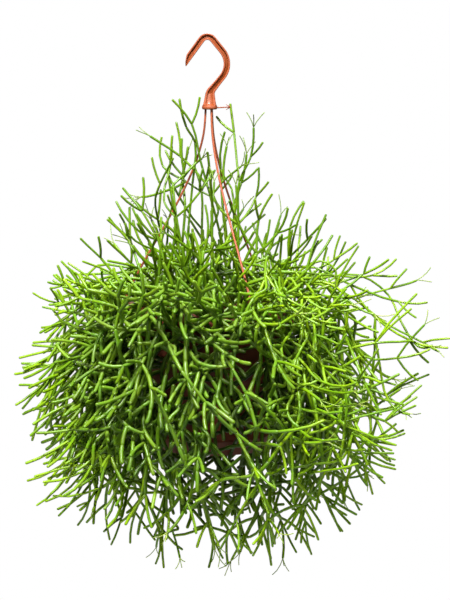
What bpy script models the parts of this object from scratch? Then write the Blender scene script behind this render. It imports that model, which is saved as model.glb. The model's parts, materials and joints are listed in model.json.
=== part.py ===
"""Hanging pot of Rhipsalis heteroclada.

A plastic hook with a bell-shaped collar, three bowed rods, a thin nursery pot, its soil, and the sprays of
round, forked green stems that are rooted in the soil. The origin is the underside of the hook's crook, where
a rail carries the whole thing. The front is -Y and up is +Z. Sizes are in metres, apart from the rows of
points below that are noted as millimetres.
"""
import itertools
import math
import random

import bmesh
import bpy
import numpy as np
from mathutils import Quaternion, Vector

MM = 0.001
GOLDEN = math.pi * (3.0 - math.sqrt(5.0))    # the angle that spreads points evenly round an axis
GAP = 0.3 * MM                      # left between pieces that touch on the real thing

# Hook: the crook's centreline as corners in the XZ plane, rounded by the radii below, in millimetres
HOOK_CORNERS = ((-18.6, -18.4), (-0.1, 6.8), (23.4, -22.0), (2.6, -47.5), (2.2, -54.0))
HOOK_RADII = (0.0, 6.5, 18.8, 9.0, 0.0)
HOOK_WIDTH = 6.0 * MM               # across the bar, in the plane of the crook
HOOK_DEPTH = 6.0 * MM
HOOK_RIB = 1.5 * MM                 # raised edge on both sides of the groove
HOOK_WEB = 2.0 * MM                 # left between the front groove and the back groove
HOOK_STEP = 5.0 * MM                # distance between two sections of the bar
HOOK_TIP_SLANT = 7.0 * MM           # the tip is cut off at a slant
HOOK_TIP_SHARE = 0.45               # of the bar's width is left at the tip
HOOK_TIP_SHIFT = 1.2 * MM           # towards the outside of the crook

# Collar: radius and height of its turned outline, in millimetres
COLLAR_X = 2.2 * MM
COLLAR_PROFILE = ((0.0, -45.0), (3.6, -45.5), (4.6, -50.5), (5.4, -55.5), (6.5, -59.3),
                  (7.0, -60.6), (6.7, -62.9), (5.9, -63.4), (0.0, -63.4))
COLLAR_SIDES = 14
SOCKET_RING = 3.8 * MM              # radius of the circle that the three rod sockets stand on
SOCKET_DEPTH = 7.0 * MM
SOCKET_RADIUS = 1.4 * MM
LABEL_PIN_Z = -61.8 * MM
LABEL_PIN_START = 5.5 * MM          # from the collar's axis, inside its wall
LABEL_PIN_LENGTH = 8.6 * MM
LABEL_PIN_RADIUS = 0.7 * MM
LABEL_PIN_RISE = 0.6 * MM
LABEL_BARB = (5.2 * MM, 2.4 * MM)   # length and half width of the barb at the pin's end
LABEL_POINT = 0.3 * MM              # radius of its blunt point

# Pot: a thin-walled nursery pot with a foot ring, a flange and a turned-down edge
POT_AXIS_X = 5.6 * MM
POT_RIM_Z = -243.0 * MM
POT_HEIGHT = 132.0 * MM
POT_RIM_RADIUS = 84.0 * MM
POT_BASE_RADIUS = 49.0 * MM
POT_WALL = 1.6 * MM
POT_FLANGE = 8.5 * MM               # width of the rim, which the rods hang from
POT_SKIRT = 11.0 * MM               # height of the rim's turned-down edge
POT_FLOOR = 1.8 * MM
POT_FOOT = 1.6 * MM                 # the floor stands this far above the foot ring
POT_FOOT_WIDTH = 3.5 * MM
POT_LIP = 0.8 * MM                  # the rim's edges are taken off by this much
POT_SIDES = 36
DRAIN_RADIUS = 4.0 * MM
DRAIN_RING = 30.0 * MM
DRAIN_HOLES = 5
HOLE_SIDES = 8

# Rods: azimuth round the pot, measured from the front towards +X
ROD_AZIMUTHS = {"left": -95.0, "front": 25.0, "back": 145.0}
ROD_RADIUS = 1.0 * MM
ROD_RING = 80.2 * MM                # radius of the circle of holes in the rim
ROD_LEAD = 3.0 * MM                 # straight start below the collar
ROD_BOW = 55.0 * MM                 # how far down it still points straight down
ROD_RUN = 60.0 * MM                 # how far above the rim it already points at its hole
ROD_RUN_STEEPER = 0.06
ROD_TAIL = 9.0 * MM                 # straight end above the rim
ROD_BARB = (2.0 * MM, 5.0 * MM)     # radius and length of the barb below the rim
ROD_BARB_EDGE = 1.0 * MM            # height of the barb's upright edge
ROD_POINT = 0.6 * MM
ROD_HOLE = 1.5 * MM
ROD_SIDES = 6
ROD_RINGS = 10

# Soil
SOIL_DROP = 15.0 * MM               # below the rim
SOIL_DOME = 5.0 * MM                # the middle stands this far above the edge
SOIL_SHOULDER = (0.6, 0.7)          # share of the radius, and of the dome's height there
SOIL_SIDES = 20
ROOT_DEPTH = 16.0 * MM
ROOT_HOLE = 3.0 * MM
ROOT_HEAD = 9.0 * MM                # the straight start of a main stem above the soil
ROOT_SPACING = 8.2 * MM
ROOT_RINGS = (61.0 * MM, 19.0 * MM)     # distance from the pot's axis, for hanging and for upright stems

ROOT_ATTEMPTS = 200
ROOT_TURNS = 12                     # attempts at one distance from the axis before it is made less
ROOT_SHIFT = (0.11, 5.0 * MM)       # radians round the axis, and distance inwards, of one more attempt

# Plant: a bush round its own centre, with a sparse plume above it
BUSH_CENTRE = (8.0 * MM, 0.0, -300.0 * MM)
BUSH_STEEPNESS = (-90.0, -60.0, -30.0, 0.0, 20.0, 45.0, 90.0)    # directions, down to up, in degrees
BUSH_RIGHT = (172.0, 178.0, 183.0, 168.0, 148.0, 132.0, 134.0)   # how far it reaches there, in millimetres
BUSH_LEFT = (170.0, 176.0, 190.0, 184.0, 162.0, 146.0, 136.0)
BUSH_DEPTH = 0.97                   # of that is reached towards the front and the back
OUTWARD = 0.80                      # how much a whorl's tips turn away from the pot
MOUTH_Z = -276.0 * MM                # height of the point that they turn away from
ARRIVE_OUTWARD = 0.90               # how much a chain of stems has turned away from the pot at its end
STEM_LENGTH = 36.0 * MM             # one length of stem between two joints
AXIS_RADIUS = 1.40 * MM
SIDE_RADIUS = 1.25 * MM
TIP_RADIUS = 1.10 * MM
THREE_SIDES = 1.21                  # a three-sided stem this much larger looks as wide as the round one
CROWN_HEIGHT = 1.1                  # a fork's middle stands this many radii past its ring
MOST_TURN = math.cos(math.radians(57.0))     # a stem turns no further than this at a joint
MOST_BEND = math.cos(math.radians(78.0))     # and no further than this where it doesn't fork
LEAST_FORK = math.cos(math.radians(34.0))    # stems that fork are at least this far apart
FORK_SPREAD = 0.80                  # least parting of two stems that leave one ring
FORK_OPEN = (21.0, 30.0)            # degrees between a stem and each of two that fork from it
WHORL_OPEN = (26.0, 36.0)           # and where there are three or more
FORK_SCATTER = 0.25                 # radians that they may be out of even round it
KEEP_OFF = 4.3 * MM                 # least distance between the centres of two stems
WALL_OFF = 2.9 * MM                 # least distance from a stem's centre to the middle of the pot's wall
RULE_AXES = 38                      # sprays placed by rule, beside those aimed by hand
AXIS_TURN = 0.7                     # radians that their even spread is turned by
AXIS_SHARE = 0.64                   # of the bush's radius is reached by a main stem
AXIS_UPRIGHT = 0.25                 # main stems whose goal is steeper than this go straight up to it
AXIS_LEAN = 0.35                    # how far those lean outwards at their root
AXIS_RISE = (10.0 * MM, 44.0 * MM)  # how high the others pass over the rim
AXIS_OVER = (8.0 * MM, 34.0 * MM)   # and how far outside it
AXIS_LOOSE = (2.0 * MM, 0.2 * MM)   # how freely a main stem wanders: at first, and more at each new attempt
AXIS_ATTEMPTS = 300
UNDER_POT = 76.0 * MM               # main stems hang at least this far from the pot's axis below it
BESIDE_RIM = 108.0 * MM             # and this far beside its rim
BESIDE_RISE = 20.0 * MM             # up to this height above it
REACH = (16.0 * MM, 120.0 * MM)     # least and most distance from a joint to what grows from it
NEAREST_JOINTS = 7                  # are tried as the start of a new chain of stems
JOINT_ATTEMPTS = 4
TURN_COST = 0.9                     # how much further off a joint counts for each radian it must turn
LEAVE_STRAIGHT = (0.1, 0.6)         # how much a chain goes on in its first joint's direction
CHAIN_WANDER = 0.1
SEED = 23

# Hand-aimed sprays, as the place that each main stem reaches, in millimetres
CROWN_AXES = ((-20, -14, -88), (19, 12, -92), (28, -18, -128), (-37, 16, -122), (-28, -34, -158),
              (-6, 28, -140), (-58, -20, -165), (4, -34, -150))
REACHING_AXES = ((184, -25, -272), (168, 22, -236), (128, -18, -208), (-112, -16, -214), (-132, 30, -262))

# Furthest tips of the outline, measured on the photograph, in millimetres
OUTLINE_TIPS = (
    (-25, -18, -53), (21, 8, -58), (42, -22, -79), (-11, -4, -82), (-42, 22, -89),
    (36, 20, -105), (-38, 30, -120), (59, -34, -138), (47, 4, -116), (12, 34, -112),
    (-32, -24, -134), (26, -40, -130), (-91, -20, -162), (-69, 25, -166), (-116, -12, -180),
    (-128, 30, -197), (-159, -22, -229), (-144, 24, -222), (-162, 10, -279), (-176, -28, -303),
    (-172, 26, -320), (-169, -10, -342), (-167, 20, -378), (-144, -30, -414), (-122, 14, -452),
    (-89, -22, -463), (-49, 10, -488), (-30, -35, -471), (1, -15, -486), (22, 25, -480),
    (59, -24, -482), (96, 12, -476), (123, -20, -451), (143, 25, -440), (163, -30, -404),
    (175, 14, -395), (222, -28, -270), (221, -12, -281), (201, -20, -238), (194, 20, -222),
    (206, 18, -240), (181, 8, -287), (165, -26, -198), (173, -10, -199), (139, 20, -187),
    (108, -24, -161), (89, 18, -148), (73, -30, -151), (169, 30, -242), (172, -34, -381),
    (193, -22, -337), (185, 14, -352),
)

OUTLINE_LENGTH = 27.0 * MM          # of the tip that ends there, and the least it may come to
OUTLINE_LEAST = 12.0 * MM
OUTLINE_OTHER = (17.0 * MM, 25.0 * MM)      # length of the tip beside it
OUTLINE_FORK = 40.0                 # degrees between the two
OUTLINE_SCATTER = 0.22              # how far it may turn from straight outwards

# No stem leaves this box
OUTER_LOW = (-177.0 * MM, -178.0 * MM, -489.0 * MM)
OUTER_HIGH = (223.5 * MM, 178.0 * MM, -50.0 * MM)

# Whorls placed by rule, as shells of the bush: share of its radius and number of whorls
SHELLS = ((0.86, 230), (0.72, 200), (0.58, 110))
SHELL_TURN = 1.3                    # radians that each shell is turned on from the one before
SHELL_SCATTER = 6.0 * MM
WHORL_TIPS = (2, 2, 3, 2, 3)
TIP_LENGTHS = (24.0 * MM, 36.0 * MM)
TIP_SHARES = (1.0, 0.78, 0.58)      # of its length that a tip may be cut down to

# Whorls close round the pot: distance from its wall, height range and number
SKIRT_OFF = 24.0 * MM
SKIRT_HEIGHTS = (-385.0 * MM, -235.0 * MM)
SKIRT_WHORLS = 130

# Whorls of the plume above the bush, which narrows upwards
PLUME_HEIGHTS = (-212.0 * MM, -104.0 * MM)
PLUME_RADII = (66.0 * MM, 20.0 * MM)
PLUME_X = (-28.0 * MM, -8.0 * MM)
PLUME_WHORLS = 34


def rounded_line(corners, radii, step):
    """Points along a line in the XZ plane whose corners are rounded. Corners and radii are in millimetres."""
    points = []
    for index, (corner, radius) in enumerate(zip(corners, radii)):
        here = Vector((corner[0], 0.0, corner[1]))
        if radius == 0.0:
            points.append(here)
            continue
        before = (Vector((corners[index - 1][0], 0.0, corners[index - 1][1])) - here).normalized()
        after = (Vector((corners[index + 1][0], 0.0, corners[index + 1][1])) - here).normalized()
        half = before.angle(after) / 2.0
        middle = here + (before + after).normalized() * (radius / math.sin(half))
        start = here + before * (radius / math.tan(half)) - middle
        swing = math.pi - 2.0 * half
        turn = start.cross(here + after * (radius / math.tan(half)) - middle).normalized()
        count = max(3, math.ceil(radius * swing / (step / MM)) + 1)
        for part in range(count + 1):
            points.append(middle + Quaternion(turn, swing * part / count) @ start)
    return [point * MM for point in points]


def new_object(name, bm, material=None):
    """Close the mesh's normals outwards and put it in the scene as one named piece."""
    bmesh.ops.recalc_face_normals(bm, faces=bm.faces)
    mesh = bpy.data.meshes.new(name)
    bm.to_mesh(mesh)
    bm.free()
    if material:
        mesh.materials.append(material)
    mesh.shade_smooth()
    mesh.set_sharp_from_angle(angle=math.radians(35.0))
    piece = bpy.data.objects.new(name, mesh)
    bpy.context.scene.collection.objects.link(piece)
    return piece


def plastic(name, colour, roughness):
    """A plain moulded material."""
    material = bpy.data.materials.new(name)
    material.use_nodes = True
    shader = material.node_tree.nodes["Principled BSDF"]
    shader.inputs["Base Color"].default_value = (*colour, 1.0)
    shader.inputs["Roughness"].default_value = roughness
    shader.inputs["Metallic"].default_value = 0.0
    return material


def turned(profile, sides, centre_x):
    """A closed body of revolution about the vertical line at centre_x."""
    bm = bmesh.new()
    rings = []
    for radius, height in profile:
        if radius == 0.0:
            rings.append([bm.verts.new((centre_x, 0.0, height))])
            continue
        ring = []
        for side in range(sides):
            angle = 2.0 * math.pi * side / sides
            place = (centre_x + radius * math.cos(angle), radius * math.sin(angle), height)
            ring.append(bm.verts.new(place))
        rings.append(ring)
    for low, high in zip(rings, rings[1:]):
        for side in range(sides):
            after = (side + 1) % sides
            corners = [low[side % len(low)], low[after % len(low)],
                       high[after % len(high)], high[side % len(high)]]
            bm.faces.new(list(dict.fromkeys(corners)))
    return bm


def swept(points, radii, sides):
    """A round bar through the points, with its own radius at each, and closed ends."""
    bm = bmesh.new()
    rings = []
    side_way = Vector((0.0, 1.0, 0.0))
    for index, (point, radius) in enumerate(zip(points, radii)):
        along = points[min(index + 1, len(points) - 1)] - points[max(index - 1, 0)]
        along.normalize()
        side_way = (side_way - along * side_way.dot(along)).normalized()
        up_way = along.cross(side_way)
        ring = []
        for side in range(sides):
            angle = 2.0 * math.pi * side / sides
            ring.append(bm.verts.new(point + (side_way * math.cos(angle) + up_way * math.sin(angle)) * radius))
        rings.append(ring)
    for low, high in zip(rings, rings[1:]):
        for side in range(sides):
            after = (side + 1) % sides
            bm.faces.new((low[side], low[after], high[after], high[side]))
    bm.faces.new(rings[0])
    bm.faces.new(rings[-1])
    return bm


def apply_boolean(piece, tools, operation):
    """Join the tools to the piece, or cut them out of it, and remove them."""
    group = bpy.data.collections.new(piece.name + "_tools")
    for tool in tools:
        group.objects.link(tool)
    modifier = piece.modifiers.new("tools", "BOOLEAN")
    modifier.operation = operation
    modifier.operand_type = "COLLECTION"
    modifier.collection = group
    modifier.solver = "EXACT"
    evaluated = piece.evaluated_get(bpy.context.evaluated_depsgraph_get())
    mesh = bpy.data.meshes.new_from_object(evaluated)
    piece.modifiers.clear()
    piece.data = mesh
    for tool in tools:
        bpy.data.objects.remove(tool)
    bpy.data.collections.remove(group)


def upright_bar(x, y, low, high, radius, sides):
    """A plain upright bar, used to cut a hole."""
    bar = swept([Vector((x, y, low)), Vector((x, y, high))], [radius, radius], sides)
    return new_object("cutter", bar)


def hook_section():
    """The H-shaped section of the bar: across it, and front to back."""
    wide = HOOK_WIDTH / 2.0
    deep = HOOK_DEPTH / 2.0
    rib = wide - HOOK_RIB
    web = HOOK_WEB / 2.0
    lower = [(-wide, -deep), (-rib, -deep), (-rib, -web), (rib, -web), (rib, -deep), (wide, -deep)]
    return lower + [(across, -depth) for across, depth in reversed(lower)]


def hook_bar():
    """The crook, from its slanted tip over the top and down to the collar."""
    points = rounded_line(HOOK_CORNERS, HOOK_RADII, HOOK_STEP)
    bm = bmesh.new()
    rings = []
    for index, point in enumerate(points):
        along = (points[min(index + 1, len(points) - 1)] - points[max(index - 1, 0)]).normalized()
        outward = Vector((-along.z, 0.0, along.x))
        ring = []
        for across, depth in hook_section():
            slant = 0.0
            if index == 0:
                slant = HOOK_TIP_SLANT * (0.5 + across / HOOK_WIDTH)
                across = across * HOOK_TIP_SHARE + HOOK_TIP_SHIFT
            ring.append(bm.verts.new(point + outward * across + Vector((0.0, depth, 0.0)) - along * slant))
        rings.append(ring)
    count = len(rings[0])
    for low, high in zip(rings, rings[1:]):
        for side in range(count):
            after = (side + 1) % count
            bm.faces.new((low[side], low[after], high[after], high[side]))
    bm.faces.new(rings[0])
    bm.faces.new(rings[-1])
    return bm


def label_pin():
    """The barbed pin beside the collar that holds a plant label."""
    start = Vector((COLLAR_X + LABEL_PIN_START, 0.0, LABEL_PIN_Z))
    end = start + Vector((LABEL_PIN_LENGTH, 0.0, LABEL_PIN_RISE))
    length, half = LABEL_BARB
    points = [start, end - Vector((LABEL_PIN_RADIUS, 0.0, 0.0)), end, end + Vector((length, 0.0, 0.0))]
    return swept(points, [LABEL_PIN_RADIUS, LABEL_PIN_RADIUS, half, LABEL_POINT], ROD_SIDES)


def rod_socket(azimuth):
    """Where one rod enters the collar."""
    angle = math.radians(azimuth)
    return COLLAR_X + SOCKET_RING * math.sin(angle), -SOCKET_RING * math.cos(angle)


def rod_hole(azimuth):
    """Where one rod goes through the rim."""
    angle = math.radians(azimuth)
    return POT_AXIS_X + ROD_RING * math.sin(angle), -ROD_RING * math.cos(angle)


def make_hook(material):
    """Crook, collar and label pin as one moulding, with three sockets below."""
    hook = new_object("hanger_hook", hook_bar(), material)
    profile = [(radius * MM, height * MM) for radius, height in COLLAR_PROFILE]
    collar = new_object("collar", turned(profile, COLLAR_SIDES, COLLAR_X), material)
    pin = new_object("pin", label_pin(), material)
    apply_boolean(hook, [collar, pin], "UNION")
    sockets = []
    bottom = COLLAR_PROFILE[-1][1] * MM
    for azimuth in ROD_AZIMUTHS.values():
        x, y = rod_socket(azimuth)
        sockets.append(upright_bar(x, y, bottom - MM, bottom + SOCKET_DEPTH, SOCKET_RADIUS, ROD_SIDES))
    apply_boolean(hook, sockets, "DIFFERENCE")


def rod_path(azimuth):
    """Centreline of one rod: down from its socket, bowed out to the rim, and straight through its hole."""
    x, y = rod_socket(azimuth)
    top = Vector((x, y, COLLAR_PROFILE[-1][1] * MM + SOCKET_DEPTH - GAP))
    exit_point = Vector((x, y, COLLAR_PROFILE[-1][1] * MM - ROD_LEAD))
    x, y = rod_hole(azimuth)
    landing = Vector((x, y, POT_RIM_Z + ROD_TAIL))
    straight = (landing - exit_point).normalized()
    bow_start = exit_point - Vector((0.0, 0.0, ROD_BOW))
    bow_end = landing - (straight + Vector((0.0, 0.0, ROD_RUN_STEEPER))).normalized() * ROD_RUN
    points = [top]
    for part in range(ROD_RINGS):
        t = part / (ROD_RINGS - 1)
        points.append(exit_point * (1 - t) ** 3 + bow_start * 3 * t * (1 - t) ** 2
                      + bow_end * 3 * t * t * (1 - t) + landing * t ** 3)
    return points


def make_rod(name, azimuth, material):
    """One bowed rod with the barb that carries the rim."""
    points = rod_path(azimuth)
    radii = [ROD_RADIUS] * len(points)
    below = POT_RIM_Z - POT_WALL - GAP
    radius, length = ROD_BARB
    foot = points[-1]
    for height, size in ((below + GAP / 2, ROD_RADIUS), (below, radius), (below - ROD_BARB_EDGE, radius),
                         (below - length, ROD_POINT)):
        points.append(Vector((foot.x, foot.y, height)))
        radii.append(size)
    new_object("hanger_rod_" + name, swept(points, radii, ROD_SIDES), material)


def pot_profile():
    """Radius and height of the pot's closed outline, seen from its axis."""
    base = POT_RIM_Z - POT_HEIGHT
    neck = POT_RIM_RADIUS - POT_FLANGE
    under = POT_RIM_Z - POT_WALL
    floor = base + POT_FOOT + POT_FLOOR
    skirt = POT_RIM_RADIUS - POT_WALL
    foot = POT_BASE_RADIUS - POT_FOOT_WIDTH
    edge = POT_RIM_Z - POT_LIP
    return [
        (0.0, base + POT_FOOT), (foot - POT_LIP, base + POT_FOOT), (foot, base), (POT_BASE_RADIUS, base),
        (neck, under), (skirt, under), (skirt, POT_RIM_Z - POT_SKIRT), (POT_RIM_RADIUS, POT_RIM_Z - POT_SKIRT),
        (POT_RIM_RADIUS, edge), (POT_RIM_RADIUS - POT_LIP, POT_RIM_Z), (neck - POT_LIP, POT_RIM_Z),
        (pot_radius(edge, True), edge), (pot_radius(floor, True), floor), (0.0, floor),
    ]


def make_pot(material):
    """The thin pot, with holes for the rods in its rim and drain holes in its floor."""
    pot = new_object("pot", turned(pot_profile(), POT_SIDES, POT_AXIS_X), material)
    cutters = []
    for azimuth in ROD_AZIMUTHS.values():
        x, y = rod_hole(azimuth)
        cutters.append(upright_bar(x, y, POT_RIM_Z - 3 * POT_WALL, POT_RIM_Z + POT_WALL, ROD_HOLE, HOLE_SIDES))
    base = POT_RIM_Z - POT_HEIGHT
    for hole in range(DRAIN_HOLES):
        angle = 2.0 * math.pi * (hole + 0.5) / DRAIN_HOLES
        x = POT_AXIS_X + DRAIN_RING * math.cos(angle)
        y = DRAIN_RING * math.sin(angle)
        cutters.append(upright_bar(x, y, base - POT_FLOOR, base + 3 * POT_FLOOR, DRAIN_RADIUS, HOLE_SIDES))
    apply_boolean(pot, cutters, "DIFFERENCE")


def pot_radius(height, inside=False):
    """Radius of the pot's wall at a height, outside or inside."""
    share = (height - (POT_RIM_Z - POT_HEIGHT)) / POT_HEIGHT
    outer = POT_BASE_RADIUS + (POT_RIM_RADIUS - POT_FLANGE - POT_BASE_RADIUS) * share
    return outer - POT_WALL if inside else outer


def make_soil(roots, material):
    """The block of soil, a gap away from the pot, with a plain hole for each root."""
    low = POT_RIM_Z - POT_HEIGHT + POT_FOOT + POT_FLOOR + GAP
    high = POT_RIM_Z - SOIL_DROP
    share, rise = SOIL_SHOULDER
    profile = [(0.0, low), (pot_radius(low, True) - 2 * GAP, low), (pot_radius(high, True) - 2 * GAP, high),
               (pot_radius(high, True) * share, high + SOIL_DOME * rise), (0.0, high + SOIL_DOME)]
    soil = new_object("soil", turned(profile, SOIL_SIDES, POT_AXIS_X), material)
    cutters = []
    for root in roots:
        cutters.append(upright_bar(root.x, root.y, root.z, root.z + 3 * ROOT_DEPTH, ROOT_HOLE, 4))
    apply_boolean(soil, cutters, "DIFFERENCE")


class Stem:
    """One length of stem: it starts at its parent's end and may fork at its own end."""

    def __init__(self, start, end, radius, parent=None):
        self.start = start
        self.end = end
        self.radius = radius
        self.parent = parent
        self.children = []
        self.spray = parent.spray if parent else None
        self.way = (end - start) / np.linalg.norm(end - start)


def unit(vector):
    """The vector at length one."""
    return vector / np.linalg.norm(vector)


def distances(start, end, starts, ends):
    """Least distance from the line start-end to each line of starts-ends."""
    along = end - start
    others = ends - starts
    apart = start - starts
    size = along @ along
    sizes = np.einsum("ij,ij->i", others, others)
    reach = np.einsum("ij,ij->i", others, apart)
    back = apart @ along
    cross = others @ along
    spread = size * sizes - cross * cross
    first = np.where(spread > 1e-18, (cross * reach - back * sizes) / np.maximum(spread, 1e-18), 0.0)
    first = np.clip(first, 0.0, 1.0)
    second = np.clip((cross * first + reach) / sizes, 0.0, 1.0)
    first = np.clip((cross * second - back) / size, 0.0, 1.0)
    return np.linalg.norm(apart + first[:, None] * along - second[:, None] * others, axis=1)


class Bush:
    """All stems placed so far, with the test that keeps a new one clear of them and of the hanger and pot."""

    def __init__(self):
        self.starts = np.zeros((0, 3))
        self.ends = np.zeros((0, 3))
        self.extra = np.zeros(0)
        self.sprays = []
        self.stems = []
        for start, end, extra in hanger_lines():
            self.block(start, end, extra)

    def block(self, start, end, extra=0.0):
        """Keep later stems away from this line, by extra more than from a stem."""
        self.starts = np.vstack((self.starts, start))
        self.ends = np.vstack((self.ends, end))
        self.extra = np.append(self.extra, extra)

    def is_clear(self, start, end, keep_off, spared=()):
        """Whether a line is clear of all that is there, apart from the stems spared."""
        if (end < OUTER_LOW).any() or (end > OUTER_HIGH).any() or pot_clearance(start, end) < WALL_OFF:
            return False
        gaps = distances(start, end, self.starts, self.ends) - self.extra
        offset = len(self.starts) - len(self.stems)
        for stem in spared:
            gaps[offset + stem.index] = 1.0
        return gaps.min() >= keep_off

    def add(self, stem):
        """Take a stem in for good."""
        stem.index = len(self.stems)
        self.stems.append(stem)
        self.block(stem.start, stem.end)
        if stem.parent:
            stem.parent.children.append(stem)


def hanger_lines():
    """The hook and rods as straight lines with the room that each needs beyond a stem's."""
    lines = []
    for azimuth in ROD_AZIMUTHS.values():
        path = rod_path(azimuth)
        for start, end in zip(path, path[1:]):
            lines.append((np.array(start), np.array(end), 0.0))
    crook = rounded_line(HOOK_CORNERS, HOOK_RADII, 4 * HOOK_STEP)
    for start, end in zip(crook, crook[1:]):
        lines.append((np.array(start), np.array(end), 3.0 * MM))
    collar = [np.array((COLLAR_X, 0.0, height * MM)) for height in (-50.0, -63.0)]
    lines.append((collar[0], collar[1], 6.0 * MM))
    pin = np.array((COLLAR_X, 0.0, LABEL_PIN_Z))
    lines.append((pin, pin + np.array((20.0 * MM, 0.0, 0.0)), 1.5 * MM))
    return lines


def pot_clearance(start, end):
    """Least distance from a line to the pot's wall, rim and floor and to the soil's surface."""
    shares = np.linspace(0.0, 1.0, 9)[:, None]
    points = start + (end - start) * shares
    across = np.hypot(points[:, 0] - POT_AXIS_X, points[:, 1])
    height = points[:, 2]
    base = POT_RIM_Z - POT_HEIGHT
    half = POT_WALL / 2
    neck = POT_RIM_RADIUS - POT_FLANGE - half
    rim = POT_RIM_RADIUS - half
    soil = POT_RIM_Z - SOIL_DROP
    shoulder = (neck * SOIL_SHOULDER[0], soil + SOIL_DOME * SOIL_SHOULDER[1] + half)
    outline = ((0.0, base + half, POT_BASE_RADIUS - half, base + half),
               (POT_BASE_RADIUS - half, base, neck, POT_RIM_Z),
               (neck, POT_RIM_Z - half, rim, POT_RIM_Z - half), (rim, POT_RIM_Z, rim, POT_RIM_Z - POT_SKIRT),
               (0.0, soil + SOIL_DOME + half, *shoulder), (*shoulder, neck, soil + half))
    least = 1.0
    for x0, z0, x1, z1 in outline:
        share = ((across - x0) * (x1 - x0) + (height - z0) * (z1 - z0)) / ((x1 - x0) ** 2 + (z1 - z0) ** 2)
        share = np.clip(share, 0.0, 1.0)
        gap = np.hypot(across - x0 - share * (x1 - x0), height - z0 - share * (z1 - z0))
        least = min(least, float(gap.min()))
    inside = (across < neck) & (across < pot_radius(height)) & (height > base) & (height < soil)
    return -1.0 if inside.any() else least


def bush_reach(way):
    """Distance from the bush's centre to its surface in a direction."""
    flat = math.hypot(way[0], way[1])
    steepness = math.degrees(math.atan2(way[2], flat))
    to_right = 0.5 + 0.5 * way[0] / flat if flat > 0.0 else 0.5
    reach = to_right * np.interp(steepness, BUSH_STEEPNESS, BUSH_RIGHT)
    reach += (1.0 - to_right) * np.interp(steepness, BUSH_STEEPNESS, BUSH_LEFT)
    return reach * MM * (1.0 + (BUSH_DEPTH - 1.0) * abs(way[1]))


def outward(place):
    """Direction away from the middle of the pot's mouth."""
    return unit(place - np.array((POT_AXIS_X, 0.0, MOUTH_Z)))


def even_ways(count, turn):
    """Directions spread evenly over a sphere, turned about its upright axis."""
    ways = []
    for index in range(count):
        height = 1.0 - (2.0 * index + 1.0) / count
        angle = GOLDEN * index + turn
        across = math.sqrt(1.0 - height * height)
        ways.append(np.array((across * math.cos(angle), across * math.sin(angle), height)))
    return ways


def axis_goals():
    """Where the main stems reach: those aimed by hand, then those spread over the bush by rule."""
    goals = [np.array(goal) * MM for goal in CROWN_AXES + REACHING_AXES]
    centre = np.array(BUSH_CENTRE)
    for way in even_ways(RULE_AXES, AXIS_TURN):
        goal = centre + way * bush_reach(way) * AXIS_SHARE
        flat = goal[:2] - (POT_AXIS_X, 0.0)
        share = min(1.0, max(0.0, 1.0 + (goal[2] - POT_RIM_Z) / POT_HEIGHT))
        least = UNDER_POT + (BESIDE_RIM - UNDER_POT) * share
        if goal[2] < POT_RIM_Z + BESIDE_RISE and np.linalg.norm(flat) < least:
            goal[:2] = np.array((POT_AXIS_X, 0.0)) + unit(flat) * least
        goals.append(goal)
    return goals[::-1]


def root_places(goals):
    """A root for each main stem: near the middle for those that stand up, near the rim for those that hang."""
    roots = []
    for goal in goals:
        flat = goal[:2] - (POT_AXIS_X, 0.0)
        lift = (goal[2] - POT_RIM_Z) / np.linalg.norm(goal - (POT_AXIS_X, 0.0, POT_RIM_Z))
        ring = ROOT_RINGS[0] + (ROOT_RINGS[1] - ROOT_RINGS[0]) * max(0.0, lift)
        angle = math.atan2(flat[1], flat[0])
        for attempt in range(ROOT_ATTEMPTS):
            turn = ROOT_SHIFT[0] * attempt * (1 if attempt % 2 else -1)
            radius = ring - (attempt // ROOT_TURNS) * ROOT_SHIFT[1]
            place = np.array((POT_AXIS_X + radius * math.cos(angle + turn), radius * math.sin(angle + turn)))
            if all(np.linalg.norm(place - root[:2]) > ROOT_SPACING for root in roots):
                break
        roots.append(np.array((place[0], place[1], POT_RIM_Z - SOIL_DROP + SOIL_DOME)))
    return roots


def hermite(start, start_way, end, end_way, count):
    """Points on a smooth curve between two places, leaving and arriving in given directions."""
    span = np.linalg.norm(end - start)
    points = []
    for part in range(count + 1):
        t = part / count
        points.append(start * (2 * t ** 3 - 3 * t * t + 1) + start_way * span * (t ** 3 - 2 * t * t + t)
                      + end * (3 * t * t - 2 * t ** 3) + end_way * span * (t ** 3 - t * t))
    return points


def joints_along(points, length):
    """Joints at nearly equal steps along a close row of points."""
    runs = [0.0]
    for before, after in zip(points, points[1:]):
        runs.append(runs[-1] + np.linalg.norm(after - before))
    count = max(1, round(runs[-1] / length))
    joints = []
    for part in range(1, count + 1):
        goal = runs[-1] * part / count
        index = max(i for i in range(len(runs)) if runs[i] <= goal + 1e-12)
        index = min(index, len(points) - 2)
        share = (goal - runs[index]) / (runs[index + 1] - runs[index])
        joints.append(points[index] + (points[index + 1] - points[index]) * share)
    return joints


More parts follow.
